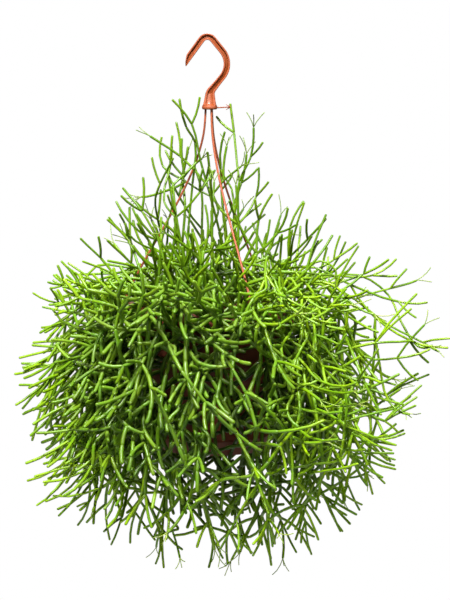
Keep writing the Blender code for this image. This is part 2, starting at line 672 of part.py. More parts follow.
def axis_path(start, goal, rng, loose):
    """A main stem's route: straight up to high goals, and over the rim and down to low ones."""
    flat = goal[:2] - (POT_AXIS_X, 0.0)
    out = np.array((*unit(flat), 0.0))
    wander = np.array([rng.uniform(-1, 1) for _ in range(3)]) * loose
    lift = (goal[2] - POT_RIM_Z) / np.linalg.norm(goal - start)
    if lift > AXIS_UPRIGHT:
        start_way = unit(out * AXIS_LEAN + np.array((0.0, 0.0, 1.0)) + wander * 8)
        end_way = unit(goal - start + wander)
        return hermite(start, start_way, goal + wander, end_way, 24)
    rise = rng.uniform(*AXIS_RISE) * (1.0 + lift * 0.4)
    over = np.array((POT_AXIS_X, 0.0, POT_RIM_Z + rise)) + out * (POT_RIM_RADIUS + rng.uniform(*AXIS_OVER))
    over = over + wander * np.array((1.0, 1.0, 0.3))
    start_way = unit(out * 0.5 + np.array((0.0, 0.0, 1.0)))
    fall = min(1.0, max(0.0, -lift))
    over_way = unit(out + np.array((0.0, 0.0, 0.25 - 1.0 * fall)) + wander * 4)
    end_way = unit(out * (1.15 - fall) + np.array((0.0, 0.0, 0.1 - 0.9 * fall)))
    return hermite(start, start_way, over, over_way, 16)[:-1] + hermite(over, over_way, goal, end_way, 24)


def bends_gently(way, start, joints):
    """Whether a chain that goes on from a direction turns little enough at each joint."""
    ways = [way] + [unit(after - before) for before, after in zip([start] + joints, joints)]
    return all(before @ after > MOST_BEND for before, after in zip(ways, ways[1:]))


def plant_axes(bush, rng):
    """Root and main stem of every spray."""
    goals = axis_goals()
    roots = root_places(goals)
    for place in roots:
        bush.block(place - (0.0, 0.0, ROOT_DEPTH), place + (0.0, 0.0, ROOT_HEAD / 2))
    for number, (goal, place) in enumerate(zip(goals, roots)):
        foot = place - (0.0, 0.0, ROOT_DEPTH)
        head = place + (0.0, 0.0, ROOT_HEAD)
        root = Stem(foot, head, AXIS_RADIUS)
        root.spray = number
        for attempt in range(AXIS_ATTEMPTS):
            loose = AXIS_LOOSE[0] + AXIS_LOOSE[1] * attempt
            joints = joints_along(axis_path(head, goal, rng, loose), STEM_LENGTH)
            runs = list(zip([head] + joints, joints))
            clear = all(bush.is_clear(start, end, KEEP_OFF) for start, end in runs)
            if clear and bends_gently(root.way, head, joints):
                break
        else:
            raise ValueError("no clear way for spray %d" % number)
        bush.add(root)
        parent = root
        for start, end in runs:
            parent = Stem(start, end, AXIS_RADIUS, parent)
            bush.add(parent)
        bush.sprays.append(root)


def fork_ways(way, count, rng):
    """Directions of a fork's stems, spread evenly round the stem that they continue."""
    side, up = cross_ways(way)
    turn = rng.uniform(0, 2 * math.pi)
    ways = []
    for index in range(count):
        angle = turn + 2 * math.pi * index / count + rng.uniform(-FORK_SCATTER, FORK_SCATTER)
        around = side * math.cos(angle) + up * math.sin(angle)
        open_angle = math.radians(rng.uniform(*(FORK_OPEN if count == 2 else WHORL_OPEN)))
        ways.append(way * math.cos(open_angle) + around * math.sin(open_angle))
    return ways


def cross_ways(way):
    """Two directions at right angles to a direction and to each other."""
    side = unit(np.cross(way, (0.3, 0.5, 0.81) if abs(way[2]) < 0.9 else (1.0, 0.2, 0.1)))
    return side, np.cross(way, side)


def fork_layout(spreads):
    """How far to turn a three-sided ring, and which side each forking stem leaves by, so that they part well.

    Each spread is a stem's direction as seen along the ring's axis. The score is how far the worst pair parts.
    """
    best = (-9.0, 0.0, ())
    for step in range(-6, 6):
        turn = math.radians(10.0 * step)
        middles = [turn + math.radians(60.0 + 120.0 * side) for side in range(3)]
        sides = [(math.cos(angle), math.sin(angle)) for angle in middles]
        for order in itertools.permutations(range(3), len(spreads)):
            score = 9.0
            for (one, a), (two, b) in itertools.combinations(zip(spreads, order), 2):
                parting = (one[0] - two[0]) * (sides[a][0] - sides[b][0])
                parting += (one[1] - two[1]) * (sides[a][1] - sides[b][1])
                score = min(score, parting)
            if score > best[0]:
                best = (score, turn, order)
    return best


def may_fork(stem, way, most):
    """Whether a stem's end has room for one more length in this direction."""
    if len(stem.children) >= most or stem.way @ way < MOST_TURN:
        return False
    if any(child.way @ way > LEAST_FORK or child.way @ stem.way < MOST_TURN for child in stem.children):
        return False
    if not stem.children or most > 3:
        return True
    side, up = cross_ways(stem.way)
    ways = [child.way for child in stem.children] + [way]
    return fork_layout([(each @ side, each @ up) for each in ways])[0] > FORK_SPREAD


def grow_to(bush, goal, rng, keep_off, most):
    """Grow a chain of stems from the best joint near the goal, and return its last stem."""
    ends = np.array([stem.end for stem in bush.stems])
    gaps = np.linalg.norm(ends - goal, axis=1)
    near = [stem for stem, gap in zip(bush.stems, gaps) if REACH[0] < gap < REACH[1]]
    ranked = []
    for stem in near:
        step = goal - stem.end
        span = np.linalg.norm(step)
        turn = math.acos(max(-1.0, min(1.0, float(stem.way @ step) / span)))
        if may_fork(stem, step / span, most):
            ranked.append((span * (1.0 + TURN_COST * turn), stem.index))
    ranked.sort()
    for _, index in ranked[:NEAREST_JOINTS]:
        stem = bush.stems[index]
        for attempt in range(JOINT_ATTEMPTS):
            span = np.linalg.norm(goal - stem.end)
            leave = unit(unit(goal - stem.end) + stem.way * rng.uniform(*LEAVE_STRAIGHT))
            wander = np.array([rng.uniform(-1, 1) for _ in range(3)]) * CHAIN_WANDER * span
            arrive = unit(unit(goal - stem.end - wander) + ARRIVE_OUTWARD * outward(goal))
            joints = joints_along(hermite(stem.end, leave, goal, arrive, 14), STEM_LENGTH)
            first = unit(joints[0] - stem.end)
            if not may_fork(stem, first, most) or not bends_gently(first, stem.end, joints):
                continue
            runs = list(zip([stem.end] + joints, joints))
            siblings = stem.children + [stem]
            if all(bush.is_clear(a, b, keep_off, siblings if a is stem.end else ()) for a, b in runs):
                for start, end in runs:
                    stem = Stem(start, end, SIDE_RADIUS, stem)
                    bush.add(stem)
                return stem
    return None


def add_tips(bush, stem, ways, lengths, keep_off, most):
    """Fork a stem's end into tips, cut short or left out where there is no room."""
    for way, length in zip(ways, lengths):
        if not may_fork(stem, way, most):
            continue
        for share in TIP_SHARES:
            end = stem.end + way * length * share
            if bush.is_clear(stem.end, end, keep_off, stem.children + [stem]):
                bush.add(Stem(stem.end, end, TIP_RADIUS, stem))
                break


def grow_whorl(bush, goal, count, rng, keep_off=KEEP_OFF, most=3):
    """One whorl of tips at the end of its own chain of stems."""
    stem = grow_to(bush, goal, rng, keep_off, most)
    if stem is None:
        return
    ways = fork_ways(unit(stem.way + OUTWARD * outward(stem.end)), count, rng)
    lengths = [rng.uniform(*TIP_LENGTHS) for _ in ways]
    add_tips(bush, stem, ways, lengths, keep_off, most)


def grow_outline_tip(bush, tip, rng):
    """A fork whose first tip ends where the outline of the bush needs it."""
    goal = np.array(tip) * MM
    out = unit(outward(goal) + np.array([rng.uniform(-1, 1) for _ in range(3)]) * OUTLINE_SCATTER)
    joint = goal - out * OUTLINE_LENGTH
    stem = grow_to(bush, joint, rng, KEEP_OFF, 3)
    if stem is None:
        return
    first = unit(goal - stem.end)
    if np.linalg.norm(goal - stem.end) > OUTLINE_LEAST:
        add_tips(bush, stem, [first], [np.linalg.norm(goal - stem.end)], KEEP_OFF, 3)
    around = unit(np.cross(first, stem.way + np.array((0.1, 0.3, 0.2))))
    opening = math.radians(OUTLINE_FORK if rng.random() < 0.5 else -OUTLINE_FORK)
    other = unit(first * math.cos(opening) + around * math.sin(opening))
    add_tips(bush, stem, [other], [rng.uniform(*OUTLINE_OTHER)], KEEP_OFF, 3)


def grow_bush():
    """The whole plant: main stems, the outline's tips, then whorls in even shells from the outside in."""
    rng = random.Random(SEED)
    bush = Bush()
    plant_axes(bush, rng)
    for tip in OUTLINE_TIPS:
        grow_outline_tip(bush, tip, rng)
    for stem in [stem for stem in bush.stems if stem.radius == AXIS_RADIUS and not stem.children]:
        ways = fork_ways(stem.way, 2, rng)
        add_tips(bush, stem, ways, [rng.uniform(*TIP_LENGTHS) for _ in ways], KEEP_OFF, 3)
    centre = np.array(BUSH_CENTRE)
    for shell, (share, count) in enumerate(SHELLS):
        for index, way in enumerate(even_ways(count, SHELL_TURN * shell)):
            goal = centre + way * bush_reach(way) * share * rng.uniform(0.95, 1.05)
            goal = goal + np.array([rng.uniform(-1, 1) for _ in range(3)]) * SHELL_SCATTER
            grow_whorl(bush, goal, WHORL_TIPS[index % len(WHORL_TIPS)], rng)
    for index in range(PLUME_WHORLS):
        share = (index + 0.5) / PLUME_WHORLS
        ranges = (PLUME_X, PLUME_HEIGHTS, PLUME_RADII)
        middle, height, across = (low + (high - low) * share for low, high in ranges)
        angle = GOLDEN * index
        goal = np.array((middle + across * math.cos(angle), 0.7 * across * math.sin(angle), height))
        grow_whorl(bush, goal, WHORL_TIPS[index % len(WHORL_TIPS)], rng)
    low, high = SKIRT_HEIGHTS
    for index in range(SKIRT_WHORLS):
        angle = GOLDEN * index
        height = low + (high - low) * (index + 0.5) / SKIRT_WHORLS
        across = max(POT_RIM_RADIUS * 0.9, pot_radius(height)) + SKIRT_OFF * rng.uniform(0.7, 1.3)
        goal = np.array((POT_AXIS_X + across * math.cos(angle), across * math.sin(angle), height))
        grow_whorl(bush, goal, WHORL_TIPS[index % len(WHORL_TIPS)], rng)
    return bush


def draw_stem(bm, stem, root_verts):
    """Draw one stem out of an open triangle, and the stems that fork from its end."""
    along = Vector(stem.way)
    if len(stem.children) == 1:
        along = (along + Vector(stem.children[0].way)).normalized()
    side = root_verts[0].co - sum((vert.co for vert in root_verts), Vector()) / 3
    side = (side - along * side.dot(along)).normalized()
    up = along.cross(side)
    turn = 0.0
    order = ()
    if len(stem.children) > 1:
        ways = [Vector(child.way) for child in stem.children]
        turn, order = fork_layout([(way.dot(side), way.dot(up)) for way in ways])[1:]
    size = stem.radius * THREE_SIDES
    ring = []
    for corner in range(3):
        angle = turn + 2 * math.pi * corner / 3
        ring.append(bm.verts.new(Vector(stem.end) + (side * math.cos(angle) + up * math.sin(angle)) * size))
    middle = sum((vert.co for vert in (*root_verts, *ring)), Vector()) / 6
    for corner in range(3):
        after = (corner + 1) % 3
        near, far = (root_verts[corner], root_verts[after]), (ring[after], ring[corner])
        outer = [((near[i].co + far[i].co) / 2 - middle).length for i in range(2)]
        if outer[0] > outer[1]:
            bm.faces.new((near[0], near[1], far[0]))
            bm.faces.new((near[0], far[0], far[1]))
        else:
            bm.faces.new((near[0], near[1], far[1]))
            bm.faces.new((near[1], far[0], far[1]))
    if not stem.children:
        bm.faces.new(ring)
    elif len(stem.children) == 1:
        draw_stem(bm, stem.children[0], ring)
    else:
        crown = bm.verts.new(Vector(stem.end) + along * size * CROWN_HEIGHT)
        for corner in range(3):
            face = (ring[corner], ring[(corner + 1) % 3], crown)
            if corner in order:
                draw_stem(bm, stem.children[order.index(corner)], face)
            else:
                bm.faces.new(face)


def make_spray(number, root, material):
    """One spray: its root in the soil, its main stem and all that forks from it, as one closed body."""
    bm = bmesh.new()
    foot = []
    for corner in range(3):
        angle = 2 * math.pi * corner / 3
        size = root.radius * THREE_SIDES
        place = Vector(root.start) + Vector((math.cos(angle), math.sin(angle), 0.0)) * size
        foot.append(bm.verts.new(place))
    bm.faces.new(list(reversed(foot)))
    draw_stem(bm, root, foot)
    new_object("stem_spray_%02d" % number, bm, material)


def main():
    """Build the model in an empty scene."""
    for piece in list(bpy.data.objects):
        bpy.data.objects.remove(piece)
    hanger = plastic("hanger_plastic", (0.46, 0.10, 0.035), 0.42)
    clay = plastic("pot_plastic", (0.19, 0.075, 0.045), 0.5)
    earth = plastic("soil_matter", (0.035, 0.022, 0.014), 0.95)
    green = plastic("stem_skin", (0.13, 0.26, 0.035), 0.45)
    make_hook(hanger)
    for name, azimuth in ROD_AZIMUTHS.items():
        make_rod(name, azimuth, hanger)
    make_pot(clay)
    bush = grow_bush()
    roots = [Vector(root.start) - Vector((0.0, 0.0, GAP)) for root in bush.sprays]
    make_soil(roots, earth)
    for number, root in enumerate(bush.sprays, 1):
        make_spray(number, root, green)


main()
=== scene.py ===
"""Looks of a hanging pot of Rhipsalis heteroclada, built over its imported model.

The plant grows here by the same rules and the same seed as in the part's source, so each spray keeps its
form. More stems are then grown between the first ones, and all of them are drawn as smooth tubes. Sizes are
in metres, apart from the rows of points that are noted as millimetres. The front is -Y and up is +Z.
"""

import collections
import itertools
import json
import math
import random

import bmesh
import bpy
import numpy as np
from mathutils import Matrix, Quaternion, Vector

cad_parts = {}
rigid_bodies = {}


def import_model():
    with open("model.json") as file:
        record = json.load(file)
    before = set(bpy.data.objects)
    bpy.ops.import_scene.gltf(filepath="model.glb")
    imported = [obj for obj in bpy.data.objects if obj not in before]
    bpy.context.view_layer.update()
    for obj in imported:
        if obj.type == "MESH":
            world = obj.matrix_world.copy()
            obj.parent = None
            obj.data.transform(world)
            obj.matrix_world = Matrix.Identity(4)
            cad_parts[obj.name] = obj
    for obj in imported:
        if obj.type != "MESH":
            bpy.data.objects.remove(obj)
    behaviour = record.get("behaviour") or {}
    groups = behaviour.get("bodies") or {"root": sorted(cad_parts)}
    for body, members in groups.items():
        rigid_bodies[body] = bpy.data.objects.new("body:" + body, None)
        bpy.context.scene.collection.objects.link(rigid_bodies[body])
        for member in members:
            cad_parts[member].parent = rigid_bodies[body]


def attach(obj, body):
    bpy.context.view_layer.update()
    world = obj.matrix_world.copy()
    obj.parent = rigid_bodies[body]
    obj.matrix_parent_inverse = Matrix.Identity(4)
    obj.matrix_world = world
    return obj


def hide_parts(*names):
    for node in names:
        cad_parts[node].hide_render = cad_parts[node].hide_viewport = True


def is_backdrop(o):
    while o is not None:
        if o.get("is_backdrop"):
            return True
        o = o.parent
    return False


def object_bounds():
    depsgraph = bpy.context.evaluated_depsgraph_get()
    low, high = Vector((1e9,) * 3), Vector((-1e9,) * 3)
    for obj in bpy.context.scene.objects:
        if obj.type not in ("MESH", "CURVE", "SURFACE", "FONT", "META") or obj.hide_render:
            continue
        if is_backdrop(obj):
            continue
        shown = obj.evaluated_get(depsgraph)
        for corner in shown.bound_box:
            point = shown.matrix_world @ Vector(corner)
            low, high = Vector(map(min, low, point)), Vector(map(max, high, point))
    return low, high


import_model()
CAD_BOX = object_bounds()

MM = 0.001
GOLDEN = math.pi * (3.0 - math.sqrt(5.0))  # the angle that spreads points evenly round an axis
GAP = 0.3 * MM  # left between pieces that touch on the real thing
UP = np.array((0.0, 0.0, 1.0))
PARALLEL = 1e-18  # two lines that spread less than this are taken as parallel

# Hook: the crook's centreline as corners in the XZ plane, rounded by the radii below, in millimetres
HOOK_CORNERS = ((-18.6, -18.4), (-0.1, 6.8), (23.4, -22.0), (2.6, -47.5), (2.2, -54.0))
HOOK_RADII = (0.0, 6.5, 18.8, 9.0, 0.0)
HOOK_WIDTH = 6.0 * MM  # across the bar, in the plane of the crook
HOOK_COARSE_STEP = 20.0 * MM  # between two points of the crook's bends, as the stems see them
HOOK_FINE_STEP = 1.2 * MM  # and for the bar itself
HOOK_ROOM = 3.0 * MM  # kept free round that line, beyond what a stem needs
HOOK_TIP_RUN = 9.0 * MM  # over which the crook's outer edge turns in to its tip
HOOK_TIP_DROP = 5.0 * MM  # that the tip reaches beyond the middle line's start
# Where the bar runs into the collar: heights in millimetres, and its width and depth there as shares of the
# plain bar's
HOOK_FOOT = ((-38.0, 1.0, 1.0), (-44.0, 1.12, 1.0), (-49.0, 1.42, 1.05), (-54.5, 1.70, 1.25),
             (-59.5, 2.02, 1.6))
HOOK_END = (2.2, -59.6)  # the end of its middle line there, in millimetres
# Half of the hook's section, from the crook's inside to its outside: place across and depth, in millimetres
HOOK_HALF = ((-3.0, 2.3), (-2.75, 2.85), (-2.3, 3.0), (-1.9, 2.9), (-1.6, 2.5), (-1.45, 1.45), (0.35, 1.3),
             (0.75, 0.85), (1.30, 0.85), (1.50, 2.5), (1.75, 2.9), (2.2, 3.0), (2.75, 2.85), (3.0, 2.3))

# Collar, with the sockets and the label's pin
COLLAR_X = 2.2 * MM
COLLAR_FOOT_Z = -63.4 * MM  # where the rods come out
COLLAR_HEIGHTS = (-50.0 * MM, -63.0 * MM)  # of the line that stems keep away from, and its room
COLLAR_ROOM = 6.0 * MM
COLLAR_FLAT = ((-59.5, -47.0), (0.85, 0.35))  # heights in millimetres, and its depth there by its width
# Its outline: radius and height in millimetres, and how light its plastic is painted there, which is a
# painted highlight brightest round the lip
COLLAR_FINE = ((0.0, -47.0, 0.2), (1.8, -47.3, 0.2), (2.9, -48.2, 0.2), (3.7, -50.0, 0.1), (4.3, -52.0, 0.1),
               (4.9, -54.5, 0.1), (5.6, -57.3, 0.1), (6.2, -59.2, 0.2), (6.75, -60.0, 0.8), (7.0, -60.6, 1.0),
               (7.05, -61.6, 1.0), (6.85, -62.6, 0.9), (6.4, -63.2, 0.4), (5.6, -63.4, 0.0),
               (5.2, -63.1, 0.0), (5.0, -62.2, 0.0), (0.0, -62.2, 0.0))
SOCKET_RING = 3.8 * MM  # radius of the circle that the three rod sockets stand on
SOCKET_DEPTH = 7.0 * MM
LABEL_PIN_Z = -61.8 * MM
LABEL_PIN_START = 5.5 * MM  # from the collar's axis, inside its wall
LABEL_PIN_LENGTH = 8.6 * MM
LABEL_PIN_RISE = 0.6 * MM
LABEL_PIN_REACH = 20.0 * MM  # of the line that stems keep away from, and the room they leave it
LABEL_PIN_ROOM = 1.5 * MM
LABEL_SHAFT_RADII = (0.62 * MM, 0.55 * MM, 0.15 * MM)
LABEL_BARB_RADII = (0.45 * MM, 0.4 * MM, 0.2 * MM)
LABEL_BARB = (5.2 * MM, 2.4 * MM)  # length and half width of the barb at the pin's end

# Pot: a thin-walled nursery pot with a foot ring, a flange and a turned-down edge
POT_AXIS_X = 5.6 * MM
POT_AXIS = np.array((POT_AXIS_X, 0.0))
POT_RIM_Z = -243.0 * MM
POT_HEIGHT = 132.0 * MM
POT_BASE_Z = POT_RIM_Z - POT_HEIGHT
POT_RIM_RADIUS = 84.0 * MM
POT_BASE_RADIUS = 49.0 * MM
POT_WALL = 1.6 * MM
POT_FLANGE = 8.5 * MM  # width of the rim, which the rods hang from
POT_SKIRT = 11.0 * MM  # height of the rim's turned-down edge
POT_FLOOR = 1.8 * MM
POT_FOOT = 1.6 * MM  # the floor stands this far above the foot ring
POT_RING_SHARES = (0.10, 0.62, 0.86)  # of its height, where raised rings run round it
DRAIN_RADIUS = 4.0 * MM
DRAIN_RING = 30.0 * MM
DRAIN_HOLES = 5

# Rods: azimuth round the pot, measured from the front towards +X
ROD_AZIMUTHS = {"left": -95.0, "front": 25.0, "back": 145.0}
ROD_RADIUS = 1.0 * MM
ROD_RING = 80.2 * MM  # radius of the circle of holes in the rim
ROD_LEAD = 3.0 * MM  # straight start below the collar
ROD_BOW = 55.0 * MM  # how far down it still points straight down
ROD_RUN = 60.0 * MM  # how far above the rim it already points at its hole
ROD_RUN_FLATTER = 0.06  # than straight, by this much, it points there
ROD_TAIL = 9.0 * MM  # straight end above the rim
ROD_BARB = (2.0 * MM, 5.0 * MM)  # radius and length of the barb below the rim
ROD_BARB_EDGE = 1.0 * MM  # height of the barb's upright edge
ROD_POINT = 0.6 * MM
ROD_HOLE = 1.5 * MM
ROD_RINGS = 10
ROD_PARTS = 4  # of each length between two of those, where it is drawn

# Soil
SOIL_DROP = 15.0 * MM  # below the rim
SOIL_Z = POT_RIM_Z - SOIL_DROP
SOIL_DOME = 5.0 * MM  # the middle stands this far above the edge
SOIL_SHOULDER = (0.6, 0.7)  # share of the radius, and of the dome's height there
SOIL_RINGS = 26  # across its top
CRUMBS = 420  # of soil on top, and their radii in millimetres
CRUMB_SIZES = (1.5, 4.0)
ROOT_DEPTH = 16.0 * MM
ROOT_HEAD = 9.0 * MM  # the straight start of a main stem above the soil
ROOT_SPACING = 8.2 * MM
ROOT_RINGS = (61.0 * MM, 19.0 * MM)  # distance from the pot's axis, for hanging and for upright stems
ROOT_ATTEMPTS = 200
ROOT_TURNS = 12  # attempts at one distance from the axis before it is made less
ROOT_SHIFT = (0.11, 5.0 * MM)  # radians round the axis, and distance inwards, of one more attempt

# Plant: a bush round its own centre, with a sparse plume above it
BUSH_CENTRE = np.array((8.0 * MM, 0.0, -300.0 * MM))
BUSH_STEEPNESS = (-90.0, -60.0, -30.0, 0.0, 20.0, 45.0, 90.0)  # directions, down to up, in degrees
BUSH_RIGHT = (172.0, 178.0, 183.0, 168.0, 148.0, 132.0, 134.0)  # how far it reaches there, in millimetres
BUSH_LEFT = (170.0, 176.0, 190.0, 184.0, 162.0, 146.0, 136.0)
BUSH_DEPTH = 0.97  # of that is reached towards the front and the back
OUTWARD = 0.80  # how much a whorl's tips turn away from the pot
MOUTH = np.array((POT_AXIS_X, 0.0, -276.0 * MM))  # the point that they turn away from
ARRIVE_OUTWARD = 0.90  # how much a chain of stems has turned away from the pot at its end
STEM_LENGTH = 36.0 * MM  # one length of stem between two joints
AXIS_RADIUS = 1.40 * MM
SIDE_RADIUS = 1.25 * MM
TIP_RADIUS = 1.10 * MM
MOST_TURN = math.cos(math.radians(57.0))  # a stem turns no further than this at a joint
MOST_BEND = math.cos(math.radians(78.0))  # and no further than this where it doesn't fork
MOST_FORKS = 3  # lengths that may go on from one joint
LEAST_FORK = math.cos(math.radians(34.0))  # stems that fork are at least this far apart
FORK_SPREAD = 0.80  # least parting of two stems that leave one ring
FORK_OPEN = (21.0, 30.0)  # degrees between a stem and each of two that fork from it
WHORL_OPEN = (26.0, 36.0)  # and where there are three or more
FORK_SCATTER = 0.25  # radians that they may be out of even round it
KEEP_OFF = 4.3 * MM  # least distance between the centres of two stems
WALL_OFF = 2.9 * MM  # least distance from a stem's centre to the middle of the pot's wall
RULE_AXES = 38  # sprays placed by rule, beside those listed
AXIS_TURN = 0.7  # radians that their even spread is turned by
AXIS_SHARE = 0.64  # of the bush's radius is reached by a main stem
AXIS_UPRIGHT = 0.25  # main stems whose goal is steeper than this go straight up to it
AXIS_LEAN = 0.35  # how far those lean outwards at their root
AXIS_RISE = (10.0 * MM, 44.0 * MM)  # how high the others pass over the rim
AXIS_OVER = (8.0 * MM, 34.0 * MM)  # and how far outside it
AXIS_LOOSE = (2.0 * MM, 0.2 * MM)  # how freely a main stem wanders: at first, and more at each new attempt
AXIS_ATTEMPTS = 300
RISE_STEPS = 16  # steps of a main stem's line up over the rim, and of the rest of it
ROUTE_STEPS = 24
UNDER_POT = 76.0 * MM  # main stems hang at least this far from the pot's axis below it
BESIDE_RIM = 108.0 * MM  # and this far beside its rim
BESIDE_RISE = 20.0 * MM  # up to this height above it
REACH = (16.0 * MM, 120.0 * MM)  # least and most distance from a joint to what grows from it
NEAREST_JOINTS = 7  # are tried as the start of a new chain of stems
JOINT_ATTEMPTS = 4
TURN_COST = 0.9  # how much further off a joint counts for each radian it must turn
LEAVE_STRAIGHT = (0.1, 0.6)  # how much a chain goes on in its first joint's direction
CHAIN_WANDER = 0.1  # of its length that its end may be turned aside
CHAIN_STEPS = 14
SEED = 23

# Listed sprays, as the place that each main stem reaches, in millimetres
CROWN_AXES = ((-20, -14, -88), (19, 12, -92), (28, -18, -128), (-37, 16, -122), (-28, -34, -158),
              (-6, 28, -140), (-58, -20, -165), (4, -34, -150))
REACHING_AXES = ((184, -25, -272), (168, 22, -236), (128, -18, -208), (-112, -16, -214), (-132, 30, -262))

# Furthest tips of the outline, measured on the photograph, in millimetres
OUTLINE_TIPS = (
    (-25, -18, -53), (21, 8, -58), (42, -22, -79), (-11, -4, -82), (-42, 22, -89),
    (36, 20, -105), (-38, 30, -120), (59, -34, -138), (47, 4, -116), (12, 34, -112),
    (-32, -24, -134), (26, -40, -130), (-91, -20, -162), (-69, 25, -166), (-116, -12, -180),
    (-128, 30, -197), (-159, -22, -229), (-144, 24, -222), (-162, 10, -279), (-176, -28, -303),
    (-172, 26, -320), (-169, -10, -342), (-167, 20, -378), (-144, -30, -414), (-122, 14, -452),
    (-89, -22, -463), (-49, 10, -488), (-30, -35, -471), (1, -15, -486), (22, 25, -480),
    (59, -24, -482), (96, 12, -476), (123, -20, -451), (143, 25, -440), (163, -30, -404),
    (175, 14, -395), (222, -28, -270), (221, -12, -281), (201, -20, -238), (194, 20, -222),
    (206, 18, -240), (181, 8, -287), (165, -26, -198), (173, -10, -199), (139, 20, -187),
    (108, -24, -161), (89, 18, -148), (73, -30, -151), (169, 30, -242), (172, -34, -381),
    (193, -22, -337), (185, 14, -352),
)
OUTLINE_LENGTH = 27.0 * MM  # of the tip that ends there, and the least it may come to
OUTLINE_LEAST = 12.0 * MM
OUTLINE_OTHER = (17.0 * MM, 25.0 * MM)  # length of the tip beside it
OUTLINE_FORK = 40.0  # degrees between the two
OUTLINE_SCATTER = 0.22  # how far it may turn from straight outwards

# No stem leaves this box
OUTER_LOW = (-177.0 * MM, -178.0 * MM, -489.0 * MM)
OUTER_HIGH = (223.5 * MM, 178.0 * MM, -50.0 * MM)

# Whorls placed by rule, as shells of the bush: share of its radius and number of whorls
SHELLS = ((0.86, 230), (0.72, 200), (0.58, 110))
SHELL_TURN = 1.3  # radians that each shell is turned on from the one before
SHELL_SHARES = (0.95, 1.05)  # random factor of a whorl's distance from the middle, and its random step
SHELL_SCATTER = 6.0 * MM
WHORL_TIPS = (2, 2, 3, 2, 3)
TIP_LENGTHS = (24.0 * MM, 36.0 * MM)
TIP_SHARES = (1.0, 0.78, 0.58)  # of its length that a tip may be cut down to

# Whorls close round the pot: distance from its wall, height range and number
SKIRT_OFF = 24.0 * MM
SKIRT_HEIGHTS = (-385.0 * MM, -235.0 * MM)
SKIRT_WHORLS = 130
SKIRT_SHARES = (0.7, 1.3)  # of that distance
SKIRT_LEAST = 0.9  # of the rim's radius is kept below it

# Whorls of the plume above the bush, which narrows upwards
PLUME_HEIGHTS = (-212.0 * MM, -104.0 * MM)
PLUME_RADII = (66.0 * MM, 20.0 * MM)
PLUME_X = (-28.0 * MM, -8.0 * MM)
PLUME_WHORLS = 34
PLUME_FLAT = 0.7  # its depth by its width

# Extra stems, grown between the ones above: their own seed, clearance and most forks at a joint
EXTRA_SEED = 5
EXTRA_KEEP_OFF = 2.9 * MM
EXTRA_FORKS = 4
# Shells: share of the bush's reach, whorls, and their tips' lengths
EXTRA_SHELLS = ((0.66, 80, (32.0 * MM, 48.0 * MM)), (0.58, 210, (26.0 * MM, 42.0 * MM)),
                (0.50, 220, (22.0 * MM, 34.0 * MM)))
EXTRA_TURN = (0.9, 1.7)  # radians that the first is turned by, and each later one more
EXTRA_INWARDS = (0.26, 0.34)  # how much they are drawn in towards the right and towards the top
EXTRA_SHELL_SHARES = (0.93, 1.05)
EXTRA_SCATTER = 8.0 * MM
FAN_OPEN = (10.0, 24.0)  # degrees between a stem and those of the fan that it ends in
STAR_OPEN = (34.0, 50.0)  # the same for the stars of short stems over the front
LIFT_RIGHT = 0.75  # how much young stems turn upwards on the right-hand side
LIFT_FULL_X = 110.0 * MM  # where they do so fully
EXTRA_TIPS = (2, 3, 3, 4, 2, 3)

